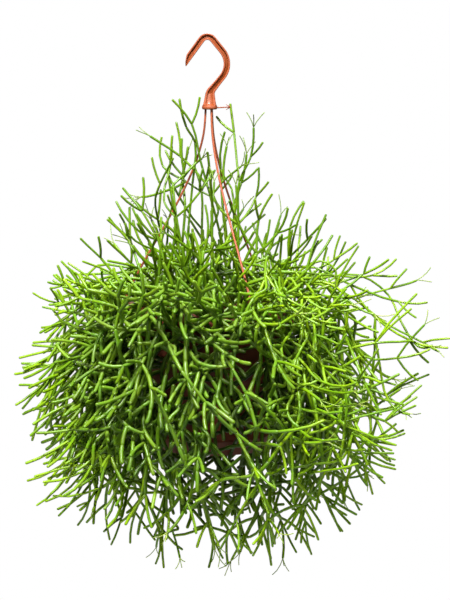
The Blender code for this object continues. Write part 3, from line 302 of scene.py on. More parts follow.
# Limbs that the photograph shows at the outline: millimetres in front (-) or behind, then x and z, as seen,
# of the joints along the limb and of the tips that fork from the last joint
LIMBS = (
    (-42, ((105, -294), (133, -283), (155, -278)), ((193, -232), (188, -246), (188, -276))),
    (-28, ((105, -297), (144, -290), (175, -292)), ((214, -281), (200, -261), (195, -313))),
    (-10, ((122, -315), (146, -320), (165, -327)), ((195, -306), (205, -307), (182, -342))),
    (-34, ((112, -342), (139, -344), (164, -351)), ((198, -317), (194, -328), (193, -336), (177, -362))),
    (12, ((131, -332), (151, -341)), ((188, -327), (178, -321))),
    (-22, ((111, -363), (138, -372), (154, -370)), ((182, -359), (175, -353), (174, -373))),
    (-48, ((105, -370), (134, -382)), ((173, -381), (175, -396), (163, -404), (149, -412))),
    (8, ((105, -386), (120, -398), (131, -404)), ((162, -398), (150, -398), (137, -422))),
    (16, ((116, -264), (131, -266)), ((151, -262), (146, -253), (149, -273))),
    (-20, ((59, -222), (76, -205)), ((89, -148), (78, -173), (96, -179))),
    (-36, ((70, -231), (91, -211)), ((109, -159), (115, -178), (102, -183))),
    (10, ((83, -235), (103, -223)), ((127, -184), (110, -189), (129, -200))),
    (-30, ((93, -244), (115, -234)), ((139, -188), (142, -215), (136, -203))),
    (-50, ((85, -266), (109, -249)), ((135, -235), (128, -227), (137, -246))),
    (-40, ((-88, -255), (-114, -273), (-134, -290)), ((-165, -331), (-158, -328), (-162, -319))),
    (-24, ((-99, -267), (-117, -284), (-136, -306)), ((-152, -332), (-159, -340), (-162, -323))),
    (-46, ((-106, -292), (-126, -312), (-141, -328)), ((-162, -341), (-154, -350), (-150, -358))),
    (-12, ((-110, -266), (-134, -284)), ((-162, -280), (-174, -292), (-171, -301))),
    (6, ((-117, -286), (-145, -299)), ((-177, -304), (-170, -311), (-172, -297))),
    (-30, ((-95, -299), (-115, -323), (-130, -341)), ((-151, -364), (-145, -373), (-155, -356))),
    (-8, ((-99, -330), (-119, -352)), ((-150, -378), (-143, -387), (-154, -371))),
    (-34, ((-82, -341), (-101, -367)), ((-126, -402), (-134, -395), (-119, -409))),
    (-20, ((33, -393), (37, -415), (47, -439)), ((22, -482), (30, -475), (51, -468), (59, -481))),
    (8, ((50, -413), (68, -444)), ((70, -480), (83, -475), (61, -467))),
    (-26, ((69, -413), (91, -445)), ((97, -477), (102, -457), (87, -466))),
    (-10, ((4, -402), (11, -429)), ((4, -471), (16, -478), (-1, -477), (19, -467))),
    (-30, ((-25, -409), (-20, -438)), ((1, -487), (-6, -470), (-17, -468), (-27, -477))),
    (-16, ((85, -402), (109, -422)), ((133, -448), (126, -455), (139, -439))),
    (14, ((26, -409), (28, -437)), ((34, -483), (41, -476), (21, -470))),
)
# Fans whose stems lie side by side, up and to the right on one side and down and to the left on the other:
# how many, radians from the front towards the right, degrees above the middle, the direction of their stems,
# the share of the bush's reach that they start at, and their stems' lengths in millimetres
COMBS = (
    (64, (0.36, 1.15), (-40.0, 2.0), (0.88, -0.30, 0.34), (0.76, 0.92), (36.0, 54.0)),
    (90, (0.30, 1.35), (-34.0, 10.0), (0.60, -0.28, 0.75), (0.68, 0.86), (26.0, 42.0)),
    (18, (-1.35, -0.80), (-42.0, -14.0), (-0.88, -0.24, -0.26), (0.78, 0.92), (32.0, 48.0)),
    (70, (-1.45, -0.55), (-42.0, 18.0), (-0.70, -0.32, -0.62), (0.68, 0.86), (26.0, 42.0)),
)
COMB_TIPS = (3, 4, 3, 5)
COMB_STRAIGHT = 0.55  # how much of the chain's own direction is left in its fan
COMB_SCATTER = 0.16  # how far a fan's direction may be off
COMB_FORKS = EXTRA_FORKS + 1
LIMB_JOINTS = 34.0 * MM
LIMB_SHIFTS = (0.0, 16.0, -16.0, 32.0)  # how much further back a limb is tried, in millimetres
LIMB_ATTEMPTS = 14
LIMB_SCATTER = 9.0  # millimetres to the front and back, between one joint or tip and the next
LIMB_TURN = math.cos(math.radians(68.0))  # a limb turns no further than this at a joint
LIMB_PARTING = math.cos(math.radians(7.0))  # and its tips are at least this far apart

# Whorls of extra stems round the pot, over the soil, over the rim and over the front: their number, how far
# they are outside the pot, their heights, and their tips' lengths
SKIRT_EXTRA = 460  # whorls of short thick stems close round the pot
SKIRT_EXTRA_LEAST = 0.85  # of the rim's radius is kept below it
SKIRT_EXTRA_OFF = (9.0 * MM, 48.0 * MM)
SKIRT_EXTRA_HEIGHTS = (-372.0 * MM, -222.0 * MM)
SKIRT_LENGTHS = (15.0 * MM, 27.0 * MM)
CROWN_EXTRA = 16  # whorls that stand up over the soil
CROWN_EXTRA_HEIGHTS = (-238.0 * MM, -195.0 * MM)
CROWN_LENGTHS = (24.0 * MM, 38.0 * MM)
CROWN_REACH = 1.15  # of the rim's radius is reached by them
RIM_EXTRA = 190  # whorls of short thick stems over the rim and in front of it
RIM_EXTRA_OFF = (-6.0 * MM, 24.0 * MM)
RIM_EXTRA_HEIGHTS = (-262.0 * MM, -222.0 * MM)
STAR_LENGTHS = (13.0 * MM, 24.0 * MM)
SHORT_JOINTS = 18.0 * MM  # length between two joints of the stems over the rim and over the front
FRONT_EXTRA = 520  # whorls of short thick stems over the front, more of them to the left
FRONT_EXTRA_OFF = (8.0 * MM, 62.0 * MM)
FRONT_EXTRA_HEIGHTS = (-378.0 * MM, -215.0 * MM)
FRONT_EXTRA_TURNS = (-1.35, 0.75)  # radians from the front towards the right

# Lines in the air that extras keep away from: x and z of their ends, in millimetres
AIR_LINES = (
    ((14, -115), (18, -185)), ((-78, -160), (-56, -180)), ((118, -224), (160, -238)),
    ((126, -250), (165, -258)), ((118, -274), (142, -300)), ((122, -362), (140, -378)),
    ((118, -398), (104, -424)), ((-165, -345), (-150, -372)),
)
AIR_DEPTHS = (-45.0, -15.0, 15.0, 45.0)  # how far behind the pot's axis each one runs again, in millimetres
AIR_RADIUS = 15.0 * MM  # kept free round them, beyond what a stem needs
# Windows that extras keep out of, where the pot or the daylight below it shows between the stems: x and z as
# seen, radius, and how far behind the pot's axis the window begins and ends, all in millimetres
WINDOWS = (
    (36, -291, 8, -62, -175), (39, -321, 7, -62, -175), (5, -350, 8, -60, -175), (-31, -376, 10, -52, -175),
    (12, -373, 8, -52, -175), (41, -374, 9, -52, -175), (-45, -306, 7, -62, -175),
    (-48, -393, 7, -150, 150), (-12, -398, 8, -150, 150), (2, -396, 6, -150, 150), (56, -373, 7, -150, 150),
    (63, -384, 7, -150, 150), (30, -398, 6, -150, 150),
)

# Age of a stem: 1 at the outline of the bush, and 0 inside and over the front
CORE = 0.5  # share of the bush's reach that counts as inside
FRONT_WAY = np.array((-0.31, -0.94, 0.11))  # the middle of the front that holds old stems
FRONT_EDGE = (0.55, 0.35)  # cosine to that direction where the front starts, and the run to its full age
FRONT_AGE = 0.8  # how much of their youth stems lose there
YOUTH_POWER = 1.3

# Thin pale new stems: the share of the outer tips that carry them, and how outward and young these are at
# least. Tips further left than NEW_FROM_X carry none
NEW_GROWTH_SHARE = 0.16
NEW_OUTWARDNESS = 0.93
NEW_YOUTH = 0.7
NEW_FROM_X = -105.0 * MM
NEW_TIPS = (2, 3, 3, 4)
NEW_LENGTHS = (9.0 * MM, 20.0 * MM)
NEW_RADIUS = 0.42 * MM

# Old stems longer than this are drawn as two, with a joint and a kink near the middle of so many steps
SPLIT_LENGTH = 25.0 * MM
SPLIT_YOUTH = 0.5  # younger ones stay whole
SPLIT_KINK = 0.16  # how far the line turns there
SPLIT_STEPS = 20
SPLIT_AT = (8, 12)
SPLIT_SCATTER = (0.88, 1.12)  # thickness of the second by the first

# Drawing of a stem as a smooth tube
TUBE_SIDES = 8
THICK_RADIUS = 1.82 * MM  # inside the bush
THIN_RADIUS = 1.08 * MM  # at its outline
TUBE_SCATTER = (0.90, 1.10)  # of its thickness that a stem may have
BEND = 0.55  # how much a side stem leaves wide and then bends inwards
TIP_LIFT = 0.18  # how much a tip bends up
JOINT_SHADE = 3.0  # radii that a joint's darker colour reaches
CAP = 0.3  # of its end ring's radius that a tube's closed end stands out
CAP_RUN = 0.4  # rings that they take up on the maps
CELL_HEIGHT = 4.0  # of a tube's cell on the baked map, by its width
CELL_ACROSS = (0.06, 0.88)  # where the tube starts in its cell, and how much of the cell it takes up
CELL_UPWARD = (0.02, 0.96)
TUBE_KEYS = ("youth", "new", "tone", "joint", "outer")
# One stem's rings: distance from the start or the end in radii, or share of the length, and the size there
START_RINGS = ((-0.3, 0.45), (0.15, 0.80), (1.1, 0.98))
MIDDLE_RINGS = (0.36, 0.68)
JOINT_RINGS = ((1.0, 1.0), (0.2, 0.88), (-0.25, 0.5))
TIP_RINGS = ((1.1, 1.0), (0.45, 0.86), (0.08, 0.45))
RINGS = len(START_RINGS) + len(MIDDLE_RINGS) + len(TIP_RINGS)
TUBE_POINTS = RINGS * TUBE_SIDES + 2

# Colours of the stems: from the darkest to the lightest where old and where young, then what is mixed in
STEM_OLD = ((0.038, 0.083, 0.0012), (0.092, 0.166, 0.002))
STEM_YOUNG = ((0.100, 0.205, 0.001), (0.215, 0.356, 0.002))
STEM_NEW = (0.30, 0.38, 0.07)
STEM_CLOUD = (0.07, 0.20, 0.002)
STEM_PLUME_SHADE = (0.040, 0.100, 0.001)  # painted shade on the plume's stems over the pot
STEM_SCAR = (0.23, 0.20, 0.03)
STEM_INNER_SHADE = (0.016, 0.034, 0.001)  # painted shade on stems deep inside the bush
# Painted highlight on the upward faces of old stems
STEM_PAINTED_HIGHLIGHT = (0.150, 0.242, 0.040)
STEM_JOINT = (0.055, 0.095, 0.004)
PLUME_SHADE_HEIGHTS = (-0.225, -0.165)  # heights between which the plume's painted shade comes in
PAINTED_HIGHLIGHT_HEIGHTS = (-0.33, -0.26)  # and the painted highlight
SCAR_SPREAD = (4.0, 0.22, 1.0)  # scars round a stem, and along each millimetre of it

# Colours of the other pieces. Plastic: in its clouds, plain, at its lighter edges and under dust. The lighter
# edges are wear on the pot, and painted highlight with some wear on the hanger
HANGER_COLOURS = ((0.160, 0.031, 0.005), (0.200, 0.040, 0.007), (0.260, 0.064, 0.026), (0.260, 0.080, 0.035))
HANGER_ROUGHNESS = 0.42
POT_COLOURS = ((0.130, 0.029, 0.012), (0.195, 0.054, 0.026), (0.17, 0.055, 0.03), (0.16, 0.09, 0.06))
POT_ROUGHNESS = 0.48
SOIL_PEAT = ((0.012, 0.007, 0.004), (0.070, 0.042, 0.024))
SOIL_FIBRE = (0.16, 0.10, 0.055)
FLOOR_SHADES = ((0.90, 0.90, 0.89), (0.94, 0.94, 0.93))

# Stage
FLOOR_Z = -1.15
FLOOR_RADIUS = 2.4
FLOOR_GLOW = 0.75  # as seen, so that the floor looks pale but throws no light up
AMBIENT = 0.015
LIGHT_SPREAD = 55.0  # degrees
LIGHT_AIM = (POT_AXIS_X, 0.0, -0.28)
# Name, place, width, power and tint
LIGHTS = (
    ("key", (-0.30, -1.05, 1.45), 0.45, 14.0, (1.0, 0.99, 0.97)),
    ("fill_right", (1.4, -1.2, 0.5), 0.9, 2.2, (1.0, 1.0, 1.0)),
    ("fill_low", (-1.3, -1.0, -0.75), 0.8, 1.2, (1.0, 1.0, 0.96)),
    ("back", (0.2, 1.5, 0.9), 1.0, 3.0, (1.0, 1.0, 1.0)),
)
SENSOR = 24.0  # height of the camera's picture, in millimetres
CAMERA_PLACE = (0.0162, -2.2, 0.0)
CAMERA_AIM = (0.0162, 0.0, -0.2382)
CAMERA_HEIGHT_SEEN = 0.552  # of the plane through the pot's axis, from the photo's foot to its head


def clamp(value):
    """The value, kept between 0 and 1."""
    return min(1.0, max(0.0, value))


def unit(vector):
    """The vector at length one."""
    return vector / np.linalg.norm(vector)


def scatter(rng, most=1):
    """A random step of at most this much along each axis."""
    return np.array([rng.uniform(-most, most) for _ in range(3)])


def curve_place(start, leave, end, arrive, t):
    """The place at share t of a smooth curve with these ends and these speeds at them."""
    return (start * (2 * t ** 3 - 3 * t * t + 1) + leave * (t ** 3 - 2 * t * t + t)
            + end * (3 * t * t - 2 * t ** 3) + arrive * (t ** 3 - t * t))


def hermite(start, start_way, end, end_way, count):
    """Points on a smooth curve between two places, leaving and arriving in given directions."""
    span = np.linalg.norm(end - start)
    leave, arrive = start_way * span, end_way * span
    return [curve_place(start, leave, end, arrive, part / count) for part in range(count + 1)]


def rounded_line(corners, radii, step):
    """Points along a line in the XZ plane whose corners are rounded. Corners and radii are in millimetres."""
    points = []
    for index, (corner, radius) in enumerate(zip(corners, radii)):
        here = Vector((corner[0], 0.0, corner[1]))
        if radius == 0.0:
            points.append(here)
            continue
        before = (Vector((corners[index - 1][0], 0.0, corners[index - 1][1])) - here).normalized()
        after = (Vector((corners[index + 1][0], 0.0, corners[index + 1][1])) - here).normalized()
        half = before.angle(after) / 2.0
        middle = here + (before + after).normalized() * (radius / math.sin(half))
        start = here + before * (radius / math.tan(half)) - middle
        swing = math.pi - 2.0 * half
        turn = start.cross(here + after * (radius / math.tan(half)) - middle).normalized()
        count = max(3, math.ceil(radius * swing / (step / MM)) + 1)
        points += [middle + Quaternion(turn, swing * part / count) @ start for part in range(count + 1)]
    return [point * MM for point in points]


def heading(points, index):
    """Direction of a row of points at one of them."""
    return (points[min(index + 1, len(points) - 1)] - points[max(index - 1, 0)]).normalized()


def skin_rings(bm, rings):
    """Faces between each ring of corners and the next. A ring of one corner is a point."""
    for low, high in zip(rings, rings[1:]):
        count = max(len(low), len(high))
        for side in range(count):
            after = (side + 1) % count
            corners = [low[side % len(low)], low[after % len(low)],
                       high[after % len(high)], high[side % len(high)]]
            bm.faces.new(list(dict.fromkeys(corners)))


def swept(points, radii, sides):
    """A round bar through the points, with its own radius at each, and closed ends."""
    bm = bmesh.new()
    rings = []
    side_way = Vector((0.0, 1.0, 0.0))
    for index, (point, radius) in enumerate(zip(points, radii)):
        along = heading(points, index)
        side_way = (side_way - along * side_way.dot(along)).normalized()
        up_way = along.cross(side_way)
        ring = []
        for side in range(sides):
            angle = 2.0 * math.pi * side / sides
            way = side_way * math.cos(angle) + up_way * math.sin(angle)
            ring.append(bm.verts.new(point + way * radius))
        rings.append(ring)
    skin_rings(bm, rings)
    bm.faces.new(rings[0])
    bm.faces.new(rings[-1])
    return bm


def turned(profile, sides, centre_x):
    """A closed body of revolution about the vertical line at centre_x."""
    bm = bmesh.new()
    rings = []
    for radius, height in profile:
        if radius == 0.0:
            rings.append([bm.verts.new((centre_x, 0.0, height))])
            continue
        ring = []
        for side in range(sides):
            angle = 2.0 * math.pi * side / sides
            ring.append(bm.verts.new((centre_x + radius * math.cos(angle), radius * math.sin(angle), height)))
        rings.append(ring)
    skin_rings(bm, rings)
    return bm


def from_front(axis_x, radius, azimuth):
    """A place round an upright axis, at this azimuth from the front."""
    angle = math.radians(azimuth)
    return axis_x + radius * math.sin(angle), -radius * math.cos(angle)


def rod_path(azimuth):
    """Centreline of one rod: down from its socket, bowed out to the rim, and straight through its hole."""
    x, y = from_front(COLLAR_X, SOCKET_RING, azimuth)
    top = Vector((x, y, COLLAR_FOOT_Z + SOCKET_DEPTH - GAP))
    exit_point = Vector((x, y, COLLAR_FOOT_Z - ROD_LEAD))
    x, y = from_front(POT_AXIS_X, ROD_RING, azimuth)
    landing = Vector((x, y, POT_RIM_Z + ROD_TAIL))
    straight = (landing - exit_point).normalized()
    bow_start = exit_point - Vector((0.0, 0.0, ROD_BOW))
    bow_end = landing - (straight + Vector((0.0, 0.0, ROD_RUN_FLATTER))).normalized() * ROD_RUN
    points = [top]
    for part in range(ROD_RINGS):
        t = part / (ROD_RINGS - 1)
        points.append(exit_point * (1 - t) ** 3 + bow_start * 3 * t * (1 - t) ** 2
                      + bow_end * 3 * t * t * (1 - t) + landing * t ** 3)
    return points


def pot_radius(height, inside=False):
    """Radius of the pot's wall at a height, outside or inside."""
    share = (height - POT_BASE_Z) / POT_HEIGHT
    outer = POT_BASE_RADIUS + (POT_RIM_RADIUS - POT_FLANGE - POT_BASE_RADIUS) * share
    return outer - POT_WALL if inside else outer


class Stem:
    """One length of stem: it starts at its parent's end and may fork at its own end."""

    def __init__(self, start, end, radius, parent=None):
        self.start = start
        self.end = end
        self.radius = radius
        self.parent = parent
        self.children = []
        self.new = []
        self.spray = parent.spray if parent else None
        self.way = unit(end - start)


def distances(start, end, starts, ends):
    """Least distance from the line start-end to each line of starts-ends."""
    along = end - start
    others = ends - starts
    apart = start - starts
    size = along @ along
    sizes = np.einsum("ij,ij->i", others, others)
    reach = np.einsum("ij,ij->i", others, apart)
    back = apart @ along
    cross = others @ along
    spread = size * sizes - cross * cross
    first = np.where(spread > PARALLEL, (cross * reach - back * sizes) / np.maximum(spread, PARALLEL), 0.0)
    first = np.clip(first, 0.0, 1.0)
    second = np.clip((cross * first + reach) / sizes, 0.0, 1.0)
    first = np.clip((cross * second - back) / size, 0.0, 1.0)
    return np.linalg.norm(apart + first[:, None] * along - second[:, None] * others, axis=1)


class Bush:
    """All stems placed so far, with the test that keeps a new one clear of them and of the hanger and pot."""

    def __init__(self):
        self.starts = np.zeros((0, 3))
        self.ends = np.zeros((0, 3))
        self.extra = np.zeros(0)
        self.stems = []
        for start, end, extra in hanger_lines():
            self.block(start, end, extra)

    def block(self, start, end, extra=0.0):
        """Keep later stems away from this line, by extra more than from a stem."""
        self.starts = np.vstack((self.starts, start))
        self.ends = np.vstack((self.ends, end))
        self.extra = np.append(self.extra, extra)

    def keep_free(self, start, end, room):
        """Keep later stems this far from a line. The lines of the stems stay the last in the rows."""
        self.starts = np.vstack((start, self.starts))
        self.ends = np.vstack((end, self.ends))
        self.extra = np.append(room, self.extra)

    def is_clear(self, start, end, keep_off, spared=()):
        """Whether a line is clear of all that is there, apart from the stems spared."""
        if (end < OUTER_LOW).any() or (end > OUTER_HIGH).any() or pot_clearance(start, end) < WALL_OFF:
            return False
        gaps = distances(start, end, self.starts, self.ends) - self.extra
        offset = len(self.starts) - len(self.stems)
        for stem in spared:
            gaps[offset + stem.index] = 1.0
        return gaps.min() >= keep_off

    def add(self, stem):
        """Take a stem in for good."""
        stem.index = len(self.stems)
        self.stems.append(stem)
        self.block(stem.start, stem.end)
        if stem.parent:
            stem.parent.children.append(stem)
        return stem


def hanger_lines():
    """The hook and rods as straight lines with the room that each needs beyond a stem's."""
    lines = []
    for azimuth in ROD_AZIMUTHS.values():
        path = rod_path(azimuth)
        lines += [(np.array(start), np.array(end), 0.0) for start, end in zip(path, path[1:])]
    crook = rounded_line(HOOK_CORNERS, HOOK_RADII, HOOK_COARSE_STEP)
    lines += [(np.array(start), np.array(end), HOOK_ROOM) for start, end in zip(crook, crook[1:])]
    collar = [np.array((COLLAR_X, 0.0, height)) for height in COLLAR_HEIGHTS]
    pin = np.array((COLLAR_X, 0.0, LABEL_PIN_Z))
    pin_end = pin + np.array((LABEL_PIN_REACH, 0.0, 0.0))
    return lines + [(*collar, COLLAR_ROOM), (pin, pin_end, LABEL_PIN_ROOM)]


def pot_clearance(start, end):
    """Least distance from a line to the pot's wall, rim and floor and to the soil's surface."""
    points = start + (end - start) * np.linspace(0.0, 1.0, 9)[:, None]
    across = np.hypot(points[:, 0] - POT_AXIS_X, points[:, 1])
    height = points[:, 2]
    half = POT_WALL / 2
    neck = POT_RIM_RADIUS - POT_FLANGE - half
    rim = POT_RIM_RADIUS - half
    shoulder = (neck * SOIL_SHOULDER[0], SOIL_Z + SOIL_DOME * SOIL_SHOULDER[1] + half)
    outline = ((0.0, POT_BASE_Z + half, POT_BASE_RADIUS - half, POT_BASE_Z + half),
               (POT_BASE_RADIUS - half, POT_BASE_Z, neck, POT_RIM_Z),
               (neck, POT_RIM_Z - half, rim, POT_RIM_Z - half), (rim, POT_RIM_Z, rim, POT_RIM_Z - POT_SKIRT),
               (0.0, SOIL_Z + SOIL_DOME + half, *shoulder), (*shoulder, neck, SOIL_Z + half))
    least = 1.0
    for x0, z0, x1, z1 in outline:
        share = ((across - x0) * (x1 - x0) + (height - z0) * (z1 - z0)) / ((x1 - x0) ** 2 + (z1 - z0) ** 2)
        share = np.clip(share, 0.0, 1.0)
        gap = np.hypot(across - x0 - share * (x1 - x0), height - z0 - share * (z1 - z0))
        least = min(least, float(gap.min()))
    inside = (across < neck) & (across < pot_radius(height)) & (height > POT_BASE_Z) & (height < SOIL_Z)
    return -1.0 if inside.any() else least


def bush_reach(way):
    """Distance from the bush's centre to its surface in a direction."""
    flat = math.hypot(way[0], way[1])
    steepness = math.degrees(math.atan2(way[2], flat))
    to_right = 0.5 + 0.5 * way[0] / flat if flat > 0.0 else 0.5
    reach = to_right * np.interp(steepness, BUSH_STEEPNESS, BUSH_RIGHT)
    reach += (1.0 - to_right) * np.interp(steepness, BUSH_STEEPNESS, BUSH_LEFT)
    return reach * MM * (1.0 + (BUSH_DEPTH - 1.0) * abs(way[1]))


def outward(place):
    """Direction away from the middle of the pot's mouth."""
    return unit(place - MOUTH)


def even_ways(count, turn):
    """Directions spread evenly over a sphere, turned about its upright axis."""
    ways = []
    for index in range(count):
        height = 1.0 - (2.0 * index + 1.0) / count
        angle = GOLDEN * index + turn
        across = math.sqrt(1.0 - height * height)
        ways.append(np.array((across * math.cos(angle), across * math.sin(angle), height)))
    return ways


def axis_goals():
    """Where the main stems reach: those listed, then those spread over the bush by rule."""
    goals = [np.array(goal) * MM for goal in CROWN_AXES + REACHING_AXES]
    for way in even_ways(RULE_AXES, AXIS_TURN):
        goal = BUSH_CENTRE + way * bush_reach(way) * AXIS_SHARE
        flat = goal[:2] - POT_AXIS
        share = clamp(1.0 + (goal[2] - POT_RIM_Z) / POT_HEIGHT)
        least = UNDER_POT + (BESIDE_RIM - UNDER_POT) * share
        if goal[2] < POT_RIM_Z + BESIDE_RISE and np.linalg.norm(flat) < least:
            goal[:2] = POT_AXIS + unit(flat) * least
        goals.append(goal)
    return goals[::-1]


def root_places(goals):
    """A root for each main stem: near the middle if it stands up, and near the rim if it hangs."""
    roots = []
    for goal in goals:
        flat = goal[:2] - POT_AXIS
        lift = (goal[2] - POT_RIM_Z) / np.linalg.norm(goal - (*POT_AXIS, POT_RIM_Z))
        ring = ROOT_RINGS[0] + (ROOT_RINGS[1] - ROOT_RINGS[0]) * max(0.0, lift)
        angle = math.atan2(flat[1], flat[0])
        for attempt in range(ROOT_ATTEMPTS):
            turn = ROOT_SHIFT[0] * attempt * (1 if attempt % 2 else -1)
            radius = ring - (attempt // ROOT_TURNS) * ROOT_SHIFT[1]
            place = np.array((POT_AXIS_X + radius * math.cos(angle + turn), radius * math.sin(angle + turn)))
            if all(np.linalg.norm(place - root[:2]) > ROOT_SPACING for root in roots):
                break
        roots.append(np.array((*place, SOIL_Z + SOIL_DOME)))
    return roots


def joints_along(points, length):
    """Joints at nearly equal steps along a close row of points."""
    runs = [0.0]
    for before, after in zip(points, points[1:]):
        runs.append(runs[-1] + np.linalg.norm(after - before))
    count = max(1, round(runs[-1] / length))
    joints = []
    for part in range(1, count + 1):
        goal = runs[-1] * part / count
        index = max(i for i in range(len(runs)) if runs[i] <= goal + 1e-12)
        index = min(index, len(points) - 2)
        share = (goal - runs[index]) / (runs[index + 1] - runs[index])
        joints.append(points[index] + (points[index + 1] - points[index]) * share)
    return joints


def axis_path(start, goal, rng, loose):
    """A main stem's route: straight up to high goals, and over the rim and down to low ones."""
    out = np.array((*unit(goal[:2] - POT_AXIS), 0.0))
    wander = scatter(rng) * loose
    lift = (goal[2] - POT_RIM_Z) / np.linalg.norm(goal - start)
    if lift > AXIS_UPRIGHT:
        start_way = unit(out * AXIS_LEAN + UP + wander * 8)
        end_way = unit(goal - start + wander)
        return hermite(start, start_way, goal + wander, end_way, ROUTE_STEPS)
    rise = rng.uniform(*AXIS_RISE) * (1.0 + lift * 0.4)
    over = np.array((*POT_AXIS, POT_RIM_Z + rise)) + out * (POT_RIM_RADIUS + rng.uniform(*AXIS_OVER))
    over = over + wander * np.array((1.0, 1.0, 0.3))
    start_way = unit(out * 0.5 + UP)
    fall = clamp(-lift)
    over_way = unit(out + UP * (0.25 - fall) + wander * 4)
    end_way = unit(out * (1.15 - fall) + UP * (0.1 - 0.9 * fall))
    up_and_over = hermite(start, start_way, over, over_way, RISE_STEPS)
    return up_and_over[:-1] + hermite(over, over_way, goal, end_way, ROUTE_STEPS)


def bends_gently(way, start, joints):
    """Whether a chain that goes on from a direction turns little enough at each joint."""
    ways = [way] + [unit(after - before) for before, after in zip([start] + joints, joints)]
    return all(before @ after > MOST_BEND for before, after in zip(ways, ways[1:]))


def plant_axes(bush, rng):
    """Root and main stem of every spray."""
    goals = axis_goals()
    roots = root_places(goals)
    for place in roots:
        bush.block(place - UP * ROOT_DEPTH, place + UP * (ROOT_HEAD / 2))
    for number, (goal, place) in enumerate(zip(goals, roots)):
        head = place + UP * ROOT_HEAD
        stem = Stem(place - UP * ROOT_DEPTH, head, AXIS_RADIUS)
        stem.spray = number
        for attempt in range(AXIS_ATTEMPTS):
            loose = AXIS_LOOSE[0] + AXIS_LOOSE[1] * attempt
            joints = joints_along(axis_path(head, goal, rng, loose), STEM_LENGTH)
            runs = list(zip([head] + joints, joints))
            clear = all(bush.is_clear(start, end, KEEP_OFF) for start, end in runs)
            if clear and bends_gently(stem.way, head, joints):
                break
        else:
            raise ValueError("no clear way for spray %d" % number)
        bush.add(stem)
        for start, end in runs:
            stem = bush.add(Stem(start, end, AXIS_RADIUS, stem))


def cross_ways(way):
    """Two directions at right angles to a direction and to each other."""
    side = unit(np.cross(way, (0.3, 0.5, 0.81) if abs(way[2]) < 0.9 else (1.0, 0.2, 0.1)))
    return side, np.cross(way, side)


def openings(way, count, opening, rng):
    """Directions spread round one, even but for some scatter, and the angle that each opens by."""
    side, up = cross_ways(way)
    turn = rng.uniform(0, 2 * math.pi)
    for index in range(count):
        angle = turn + 2 * math.pi * index / count + rng.uniform(-FORK_SCATTER, FORK_SCATTER)
        yield side * math.cos(angle) + up * math.sin(angle), math.radians(rng.uniform(*opening))


def fork_ways(way, count, rng):
    """Directions of a fork's stems round the stem that they continue."""
    spread = openings(way, count, FORK_OPEN if count == 2 else WHORL_OPEN, rng)
    return [way * math.cos(angle) + around * math.sin(angle) for around, angle in spread]


def fan_ways(way, count, opening, rng):
    """Directions of the stems of a fan or star round the stem that they continue."""
    spread = openings(way, count, opening, rng)
    return [unit(way + math.tan(angle) * around) for around, angle in spread]


def parting(spreads):
    """How far the worst pair of forking stems parts where each leaves a three-sided ring by its best side.

    Each spread is a stem's direction as seen along the ring's axis, and the ring may be turned.
    """
    best = -9.0
    for step in range(-6, 6):
        turn = math.radians(10.0 * step)
        middles = [turn + math.radians(60.0 + 120.0 * side) for side in range(3)]
        sides = [(math.cos(angle), math.sin(angle)) for angle in middles]
        for order in itertools.permutations(range(3), len(spreads)):
            score = 9.0
            for (one, a), (two, b) in itertools.combinations(zip(spreads, order), 2):
                apart = (one[0] - two[0]) * (sides[a][0] - sides[b][0])
                apart += (one[1] - two[1]) * (sides[a][1] - sides[b][1])
                score = min(score, apart)
            best = max(best, score)
    return best


def may_fork(stem, way, most):
    """Whether a stem's end has room for one more length in this direction."""
    if len(stem.children) >= most or stem.way @ way < MOST_TURN:
        return False
    if any(child.way @ way > LEAST_FORK or child.way @ stem.way < MOST_TURN for child in stem.children):
        return False
    if not stem.children or most > MOST_FORKS:
        return True
    side, up = cross_ways(stem.way)
    ways = [child.way for child in stem.children] + [way]
    return parting([(each @ side, each @ up) for each in ways]) > FORK_SPREAD


def near_joints(bush, goal, most):
    """The joints near a goal that a chain of stems may leave from, the best ones first."""
    ends = np.array([stem.end for stem in bush.stems])
    gaps = np.linalg.norm(ends - goal, axis=1)
    ranked = []
    for stem in [stem for stem, gap in zip(bush.stems, gaps) if REACH[0] < gap < REACH[1]]:
        step = goal - stem.end
        span = np.linalg.norm(step)
        turn = math.acos(max(-1.0, min(1.0, float(stem.way @ step) / span)))
        if may_fork(stem, step / span, most):
            ranked.append((span * (1.0 + TURN_COST * turn), stem.index))
    return [bush.stems[index] for _, index in sorted(ranked)[:NEAREST_JOINTS]]


def grow_to(bush, goal, rng, keep_off, most, length):
    """Grow a chain of stems from the best joint near the goal, and return its last stem."""
    for stem in near_joints(bush, goal, most):
        for attempt in range(JOINT_ATTEMPTS):
            span = np.linalg.norm(goal - stem.end)
            leave = unit(unit(goal - stem.end) + stem.way * rng.uniform(*LEAVE_STRAIGHT))
            wander = scatter(rng) * CHAIN_WANDER * span
            arrive = unit(unit(goal - stem.end - wander) + ARRIVE_OUTWARD * outward(goal))
            joints = joints_along(hermite(stem.end, leave, goal, arrive, CHAIN_STEPS), length)
            first = unit(joints[0] - stem.end)
            if not may_fork(stem, first, most) or not bends_gently(first, stem.end, joints):
                continue
            runs = list(zip([stem.end] + joints, joints))
            siblings = stem.children + [stem]
            if all(bush.is_clear(a, b, keep_off, siblings if a is stem.end else ()) for a, b in runs):
                for start, end in runs:
                    stem = bush.add(Stem(start, end, SIDE_RADIUS, stem))
                return stem
    return None


def grow_plain(bush, goal, rng):
    """A chain of the first stems, which keep more apart and fork less."""
    return grow_to(bush, goal, rng, KEEP_OFF, MOST_FORKS, STEM_LENGTH)


def add_tips(bush, stem, ways, lengths, keep_off, most):
    """Fork a stem's end into tips, cut short or left out where there is no room."""
    for way, length in zip(ways, lengths):
        if not may_fork(stem, way, most):
            continue
        for share in TIP_SHARES:
            end = stem.end + way * length * share
            if bush.is_clear(stem.end, end, keep_off, stem.children + [stem]):
                bush.add(Stem(stem.end, end, TIP_RADIUS, stem))
                break


